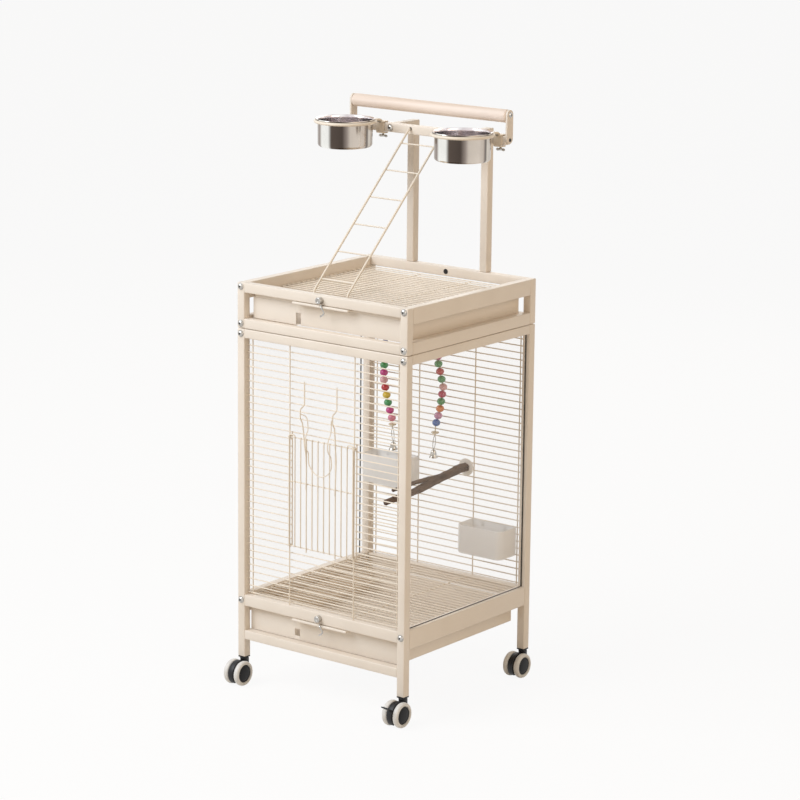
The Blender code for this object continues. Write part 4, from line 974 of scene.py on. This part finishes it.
def cup_painted_reflections(grid):
    """Painted reflection tone at every point: share = (1 + sin(v - axis)) / 2 across the cup, with
    other painted reflection bands for its inner wall, which is the first part of the profile."""
    v = 2 * np.pi * np.arange(CUP_SIDES) / CUP_SIDES
    share = (1 + np.sin(v - REFLECTION_BAND_AXIS)) / 2
    tones = np.broadcast_to(banded(PAINTED_REFLECTION_BANDS, share), (len(grid), CUP_SIDES, 3)).copy()
    tones[:int(len(grid) * INNER_SHARE)] = banded(INNER_PAINTED_REFLECTION_BANDS, share)
    return tones


for s, tag in SIDES:
    dress("cup_ring_" + tag, "cage", {wire_paint: clamp_ring(s)}, "cream_wire")
    dress("wing_screw_" + tag, "wing_screw_" + tag, {zinc: wing_screw(s)}, "zinc_plate")
    cup = steel_cup(s)
    # The cup's tone attribute carries its painted reflections
    dress("steel_cup_" + tag, "steel_cup_" + tag, {steel: [cup]}, "polished_steel",
          tones=[cup_painted_reflections(cup[0])])


# ---- Ladder ----
def ladder():
    """Two bent rods with rungs butted between them at even shares of the slope."""
    top_y = CROSS_FRONT - 0.0009
    foot_z = TOP_GRILLE_Z + 2 * WIRE + GAP
    made = []
    for s in BOTH:
        x = s * LADDER_X
        run = [(x, LADDER_FOOT_Y, foot_z), (x, LADDER_FOOT_Y, LADDER_BEND_Z),
               (x, top_y - 0.005, LADDER_TOP_Z - 0.001), (x, top_y, LADDER_TOP_Z)]
        made.append(wire(eased_path(run, 0.008, 7), LADDER_ROD, up=(1, 0, 0), sides=14))
    for t in FIRST_RUNG + RUNG_STEP * np.arange(RUNGS):
        y = top_y + (LADDER_FOOT_Y + 0.006 - top_y) * t
        z = LADDER_TOP_Z + (LADDER_BEND_Z + 0.004 - LADDER_TOP_Z) * t
        made.append(across(LADDER_X, y, z, RUNG_ROD, 12))
    return made


dress("ladder", "ladder", {wire_paint: ladder()}, "cream_wire")


# ---- Branch perch and its washer ----
def limb(reaches, radii, rings, sides, seed):
    """Rough limb: path(u) + r(u) (1 + knots and furrows) (cos v, sin v), the roughness a sum
    of sines. The path goes through points given from the branch's root."""
    path = through(np.asarray(BRANCH) + reaches, rings)
    r = np.interp(np.linspace(0, len(radii) - 1, rings), np.arange(len(radii)), radii)
    v = 2 * np.pi * np.arange(sides) / sides
    u = np.linspace(0, 1, rings)[:, None]
    furrow = (0.05 * np.sin(5 * v + 3 * np.sin(9 * u + seed))
              + 0.035 * np.sin(9 * v - 14 * u + seed))
    knots = (0.10 * np.exp(-((u - 0.27) / 0.025) ** 2)
             + 0.09 * np.exp(-((u - 0.66) / 0.03) ** 2) * (1 + np.cos(v - 1)))
    waves = 0.03 * np.sin(61 * u + 2 * v + seed)
    tangent = unit(np.gradient(path, axis=0))
    side = unit(np.cross(tangent, (0, 0, 1)))
    top = np.cross(side, tangent)
    reach = (r[:, None] * (1 + furrow + knots + waves))[..., None]
    round_about = np.cos(v)[None, :, None] * side[:, None] + np.sin(v)[None, :, None] * top[:, None]
    first, last = (np.broadcast_to(path[k], (1, sides, 3)) for k in (0, -1))
    return np.concatenate((first, path[:, None] + reach * round_about, last)), False, True


dress("branch_perch", "cage", {bark: [
    limb([(0, 0, 0), (0, -0.030, 0), (-0.002, -0.099, -0.009), (-0.004, -0.175, -0.020),
          (-0.007, -0.273, -0.025)], [0.0096, 0.0092, 0.0087, 0.0076, 0.0062], 130, 30, 0.4),
    limb([(-0.002, -0.083, -0.004), (-0.009, -0.158, -0.003), (-0.015, -0.238, -0.007)],
         [0.0056, 0.0046, 0.0036], 70, 22, 1.9),
]}, "bark", smooth=60)

washer = [(0.0, WASHER_THICK), (WASHER_RADIUS - 0.0006, WASHER_THICK), (WASHER_RADIUS, 0.0034),
          (WASHER_RADIUS, 0.0012), (WASHER_RADIUS - 0.0014, 0.0), (0.0, 0.0)]
dress("perch_washer", "cage", {white_enamel: [
    turned([(r, WASHER_Y - h) for r, h in washer], (BRANCH[0], 0, BRANCH[2]), "Y", 56, soft=0.0004),
]}, "zinc_plate")


# ---- Feeding cups ----
FEEDER_WIDTH = 0.118
FEEDER_DEPTH = 0.062
FEEDER_HEIGHT = 0.064
FEEDER_REAR_RADIUS = 0.0025
HOOK_X = 0.030


def feeder_section(x, inset, front_radius):
    """Level outline of a feeding cup: small corners at the back, round ones in front."""
    half, rear_radius = FEEDER_WIDTH / 2 - inset, FEEDER_REAR_RADIUS
    front, back = WASHER_Y - FEEDER_DEPTH + inset, WASHER_Y - inset
    corners = []
    for quarter, (sx, cy, r) in enumerate((
        (1, back - rear_radius, rear_radius), (-1, back - rear_radius, rear_radius),
        (-1, front + front_radius, front_radius), (1, front + front_radius, front_radius),
    )):
        corners.append(arc((x + sx * (half - r), cy), r, 90 * quarter, 90 * quarter + 90, 9))
    return np.concatenate(corners)


def feeding_cup(x, z):
    """Thin cup: level sections carried up the outside and down the inside, and two hooks."""
    height, rear = FEEDER_HEIGHT, WASHER_Y
    steps = [(0.0060, 0.0, 0.010), (0.0015, 0.0006, 0.0145), (0.0, 0.0030, 0.016),
             (0.0, height - 0.004, 0.016), (0.0002, height - 0.0006, 0.016),
             (0.0010, height, 0.0155), (0.0016, height - 0.0006, 0.015),
             (0.0018, height - 0.003, 0.015), (0.0020, 0.0060, 0.015),
             (0.0035, 0.0028, 0.013), (0.0080, 0.0020, 0.009)]
    rows = [np.column_stack((feeder_section(x, inset, radius), np.full(36, z + h)))
            for inset, h, radius in steps]
    foot, floor = (np.broadcast_to((x, rear - FEEDER_DEPTH / 2, level), (1, 36, 3))
                   for level in (z, z + 0.0020))
    shell = np.concatenate((foot, np.stack(rows), floor)), False, True
    low, high = z + height - 0.013, z + height - 0.002
    return [shell] + [block((hook - 0.004, rear - 0.002, low), (hook + 0.004, rear - 0.0002, high),
                            0.0006, 2) for hook in (x - HOOK_X, x + HOOK_X)]


dress("feeding_cup_right", "feeding_cup_right", {milky: feeding_cup(0.1355, 0.264)},
      "milky_plastic")
dress("feeding_cup_left", "feeding_cup_left", {milky: feeding_cup(-0.129, 0.3800)},
      "milky_plastic")


# ---- Bead strings and bells ----
TONES = {
    "green": (0.060, 0.340, 0.110), "red": (0.560, 0.035, 0.045),
    "pale pink": (0.780, 0.450, 0.480), "crimson": (0.500, 0.025, 0.110),
    "orange": (0.780, 0.220, 0.030), "lilac": (0.640, 0.300, 0.520),
    "blue": (0.045, 0.140, 0.480), "cream": (0.740, 0.640, 0.460),
    "magenta": (0.600, 0.050, 0.270), "yellow": (0.760, 0.560, 0.050),
    "pink": (0.760, 0.260, 0.360),
}
# For each string: its beads from the top, the height of the first, its line as (z, x)
STRINGS = {
    "right": (("yellow", "crimson", "blue", "magenta", "green", "red", "green", "pale pink",
               "crimson", "green", "orange", "lilac", "blue"), 0.7278,
              ((0.746, -0.0200), (0.661, -0.0120), (0.612, 0.0016), (0.560, -0.0067),
               (0.526, -0.0171), (0.440, -0.0253))),
    "left": (("red", "pale pink", "blue", "orange", "yellow", "green", "magenta", "pale pink",
              "red", "yellow", "green", "magenta", "pink"), 0.7200,
             ((0.746, -0.1580), (0.640, -0.1615), (0.606, -0.1622), (0.5555, -0.1500),
              (0.520, -0.1380), (0.440, -0.1320))),
}
STRING_Y = BACK_WIRE_Y - WIRE - 0.0135
HOOK_Z = WIRE_HEIGHTS[0] + WIRE + GAP + 0.0012
CORD_TOP = HOOK_Z - 0.006
CORD_END = 0.500
STRING_END = 0.46896
KNOT_Z = 0.5075


def string_x(path, z):
    """Sideways place of a string at a height, straight between the given bends."""
    heights, places = np.array(path)[::-1].T
    return np.interp(z, heights, places)


def bead_string(path, first, count):
    """Beads and a flat knot bead on a cord, the hook above them and the link below."""
    heights = first - BEAD_STEP * np.arange(count)
    beads = [ball((string_x(path, z), STRING_Y, z), (BEAD_RADIUS, BEAD_RADIUS, 0.0081), 14, 26)
             for z in heights]
    beads.append(ball((string_x(path, 0.507), STRING_Y, KNOT_Z), (0.0088, 0.0088, 0.0034), 10, 26))
    drop = np.linspace(CORD_TOP, CORD_END, 40)
    cord = np.stack((string_x(path, drop), np.full(40, STRING_Y), drop), -1)
    x0 = string_x(path, CORD_TOP)
    hook = eased_path([(x0, STRING_Y, HOOK_Z - 0.008), (x0, STRING_Y, HOOK_Z - 0.001),
                       (x0, BACK_WIRE_Y + 0.001, HOOK_Z)], 0.003, 5)
    start, end = string_x(path, CORD_END), string_x(path, STRING_END)
    middle, ring = (CORD_END + STRING_END) / 2, circle(28)
    z = middle + 0.0150 * ring[:, 1]
    x = (start + end) / 2 + 0.0032 * ring[:, 0] + (z - middle) * (start - end) / 0.031
    link = np.stack((x, np.full(28, STRING_Y), z), -1)
    return {
        lacquer: beads, cord_fibre: [wire(cord, 0.0011, up=(0, 1, 0))],
        zinc: [wire(hook, 0.0011, up=(1, 0, 0)), wire(link, 0.0009, up=(0, 1, 0), ring=True)],
    }


# Profiles below the bell's top: radius and drop
BELL = ((0.0, 0.0), (0.0020, 0.0002), (0.0042, 0.0018), (0.0060, 0.0052), (0.0068, 0.0100),
        (0.0078, 0.0145), (0.0100, 0.0178), (0.0098, 0.0186), (0.0074, 0.0150), (0.0062, 0.0100),
        (0.0052, 0.0056), (0.0024, 0.0026), (0.0, 0.0024))
CLAPPER = ((0.0, 0.0020), (0.0008, 0.0022), (0.0008, 0.0160), (0.0024, 0.0172),
           (0.0028, 0.0190), (0.0018, 0.0206), (0.0, 0.0210))


def bell(x):
    """Thin flared bell and its clapper, both turned from a profile."""
    top = STRING_END - GAP
    return [turned([(r, top - drop) for r, drop in profile], (x, STRING_Y, 0), "Z", sides, soft)
            for profile, sides, soft in ((BELL, 36, 0.0008), (CLAPPER, 20, 0.0005))]


for tag, (names, first, path) in STRINGS.items():
    tones = [TONES[name] for name in names + ("cream",) * 4]
    dress("bead_string_" + tag, "bead_string_" + tag, bead_string(path, first, len(names)),
          "bead_paint", tones=tones)
    dress("bell_" + tag, "bell_" + tag, {nickel: bell(string_x(path, STRING_END))}, "bell_metal")


# ---- Casters ----
TYRE = ((0.0190, 0.0168), (0.0193, 0.0188), (0.0203, 0.0201), (0.0220, 0.0205), (0.0240, 0.0200),
        (0.0256, 0.0187), (0.0266, 0.0167), (0.0270, 0.0142), (0.0266, 0.0115), (0.0256, 0.0094),
        (0.0240, 0.0081), (0.0220, 0.0077), (0.0190, 0.0077), (0.0190, 0.0168))
CAP = ((0.0, 0.0080), (0.0189, 0.0080), (0.0189, 0.0174), (0.0182, 0.0186), (0.0168, 0.0190),
       (0.0160, 0.0184), (0.0150, 0.0190), (0.0110, 0.0197), (0.0055, 0.0201), (0.0, 0.0202))
BOSS = ((0.0, 0.0490), (0.0086, 0.0490), (0.0086, 0.0532), (0.0092, 0.0542), (0.0092, 0.0562),
        (0.0086, 0.0570), (0.0, 0.0570))
HOOD_RADIUS = 0.0262
HOOD_HALF = 0.0066
LEVER_TILT = math.radians(150)
BRAKED = ("front_right", "rear_left")


def hood(x, y):
    """Hood plate between the wheels and the swivel boss under the post."""
    axle_y = y - CASTER_TRAIL
    rest = [(axle_y, 0.0170), (axle_y + 0.010, 0.0210), (y + 0.0085, 0.0400),
            (y + 0.0085, 0.0550)]
    outline = np.concatenate((arc((axle_y, WHEEL_RADIUS), HOOD_RADIUS, 55, 230, 40), rest))
    return [plate(outline, x - HOOD_HALF, x + HOOD_HALF, "X", 0.0012, (y - 0.018, 0.036)),
            turned(BOSS, (x, y, 0), "Z", 40, soft=0.0005)]


def wheels(x, y):
    """Two wheels: tyre rings, domed caps with a shallow step, and the axle between them."""
    centre = (x, y, WHEEL_RADIUS)
    tyres, caps = ([turned([(r, s * h) for r, h in profile], centre, "X", sides, soft=soft)
                    for s in BOTH] for profile, sides, soft in ((TYRE, 64, 0.0), (CAP, 56, 0.0006)))
    axle = straight((x - 0.0085, y, WHEEL_RADIUS), (x + 0.0085, y, WHEEL_RADIUS), 0.0029, 16)
    return {tread: tyres, cap_plastic: caps, zinc: [axle]}


def lever(x, y):
    """Brake pedal: two rounded strips along the sloping line of the lever."""
    along = np.array((0.0, math.cos(LEVER_TILT), math.sin(LEVER_TILT)))
    base = np.array((x, y - CASTER_TRAIL, WHEEL_RADIUS))
    return [sweep([base + along * root, base + along * 0.0475],
                  soft_rectangle(width, 0.0026, 0.0009), up=(0, 0, 1))
            for root, width in ((0.0270, 0.0116), (0.0400, 0.0180))]


for y, row in ((TUBE / 2, "front"), (DEPTH - TUBE / 2, "rear")):
    for s, tag in SIDES:
        x = s * POST_X
        name = row + "_" + tag
        dress("caster_hood_" + name, "swivel_" + name, {black_plastic: hood(x, y)},
              "black_plastic")
        dress("caster_wheels_" + name, "wheels_" + name, wheels(x, y - CASTER_TRAIL), "pale_tread")
        if name in BRAKED:
            dress("brake_lever_" + name, "lever_" + name, {black_plastic: lever(x, y)},
                  "black_plastic")


# ---- Floor, light and camera ----
FLOOR_REACH = 45
FLOOR_TONE = (0.80, 0.74, 0.66, 1.0)
FLOOR_WHITE = 0.92
WORLD_TONE = (1.0, 0.95, 0.88, 1.0)
WORLD_STRENGTH = 0.34
LAMPS = (
    ("key", (-1.6, -3.0, 3.4), 172, 3.0, (0.88, 0.93, 1.0)),
    ("right_fill", (3.6, -0.4, 2.2), 38, 2.4, (1.0, 0.78, 0.55)),
    ("rear_fill", (-1.5, 3.2, 2.6), 24, 2.4, (1.0, 0.94, 0.86)),
)
LAMP_AIM = (0, 0, 0.6)
CAMERA_PLACE = (3.7966, -4.84236, 2.044)
CAMERA_ANGLES = (37.683, 13.007, 0.597)
FOCAL_PIXELS = 2989.8
FRAME_PIXELS = 800
SENSOR = 36.0


def seen_plainly(nodes, links):
    """1 for a ray from the camera, off metal or through glass, otherwise 0."""
    rays = shader_node(nodes, "LightPath")
    last = rays.outputs["Is Camera Ray"]
    for kind in ("Is Glossy Ray", "Is Transmission Ray"):
        either = shader_node(nodes, "Math")
        either.operation = "MAXIMUM"
        links.new(last, either.inputs[0])
        links.new(rays.outputs[kind], either.inputs[1])
        last = either.outputs[0]
    return last


def mix_shaders(nodes, links, share, first, second, output):
    """first (1 - share) + second share, into the output's surface."""
    mix = shader_node(nodes, "MixShader")
    links.new(share, mix.inputs["Fac"])
    links.new(first.outputs[0], mix.inputs[1])
    links.new(second.outputs[0], mix.inputs[2])
    links.new(mix.outputs["Shader"], output.inputs["Surface"])


def studio_floor():
    """Pale floor: matt where the object shades it, nearly plain white to what looks at it."""
    mesh = bpy.data.meshes.new("studio_floor")
    r = FLOOR_REACH
    mesh.from_pydata([(-r, -r, 0), (r, -r, 0), (r, r, 0), (-r, r, 0)], [], [(0, 1, 2, 3)])
    floor = bpy.data.objects.new("studio_floor", mesh)
    bpy.context.scene.collection.objects.link(floor)
    material = bpy.data.materials.new("studio_floor")
    material.use_nodes = True
    nodes, links = material.node_tree.nodes, material.node_tree.links
    nodes.remove(nodes["Principled BSDF"])
    matt = shader_node(nodes, "BsdfDiffuse", Color=FLOOR_TONE)
    glow = shader_node(nodes, "Emission", Strength=1.0)
    share = shader_node(nodes, "Math")
    share.operation = "MULTIPLY"
    share.inputs[1].default_value = FLOOR_WHITE
    links.new(seen_plainly(nodes, links), share.inputs[0])
    mix_shaders(nodes, links, share.outputs[0], matt, glow, nodes["Material Output"])
    mesh.materials.append(material)


def studio_light():
    """Even pale world, white to the camera, with a broad key lamp and two weaker fills."""
    world = bpy.data.worlds.new("studio")
    bpy.context.scene.world = world
    world.use_nodes = True
    nodes, links = world.node_tree.nodes, world.node_tree.links
    plain = nodes["Background"]
    plain.inputs["Color"].default_value = WORLD_TONE
    plain.inputs["Strength"].default_value = WORLD_STRENGTH
    white = shader_node(nodes, "Background", Color=(1.0, 1.0, 1.0, 1.0))
    mix_shaders(nodes, links, seen_plainly(nodes, links), plain, white, nodes["World Output"])
    for name, place, power, size, colour in LAMPS:
        lamp = bpy.data.lights.new(name, "AREA")
        lamp.energy = power
        lamp.size = size
        lamp.color = colour
        obj = bpy.data.objects.new(name, lamp)
        obj.location = place
        aim = Vector(LAMP_AIM) - Vector(place)
        obj.rotation_euler = aim.to_track_quat("-Z", "Y").to_euler()
        bpy.context.scene.collection.objects.link(obj)


def photo_camera():
    """Camera at the photograph's viewing angle: a turn round Z, a tilt down, a slight roll."""
    turn, tilt, roll = (math.radians(v) for v in CAMERA_ANGLES)
    camera = bpy.data.cameras.new("photo_camera")
    camera.sensor_width = SENSOR
    camera.lens = SENSOR * FOCAL_PIXELS / FRAME_PIXELS
    camera.clip_end = 200.0
    obj = bpy.data.objects.new("photo_camera", camera)
    bpy.context.scene.collection.objects.link(obj)
    right = Vector((math.cos(turn), math.sin(turn), 0))
    ahead = Vector((-math.sin(turn) * math.cos(tilt), math.cos(turn) * math.cos(tilt),
                    -math.sin(tilt)))
    up = right.cross(ahead)
    rolled = math.cos(roll) * right + math.sin(roll) * up
    raised = math.cos(roll) * up - math.sin(roll) * right
    matrix = Matrix((rolled, raised, -ahead)).transposed().to_4x4()
    matrix.translation = CAMERA_PLACE
    obj.matrix_world = matrix
    bpy.context.scene.camera = obj


studio_floor()
studio_light()
photo_camera()
bpy.context.scene.view_settings.view_transform = "Standard"
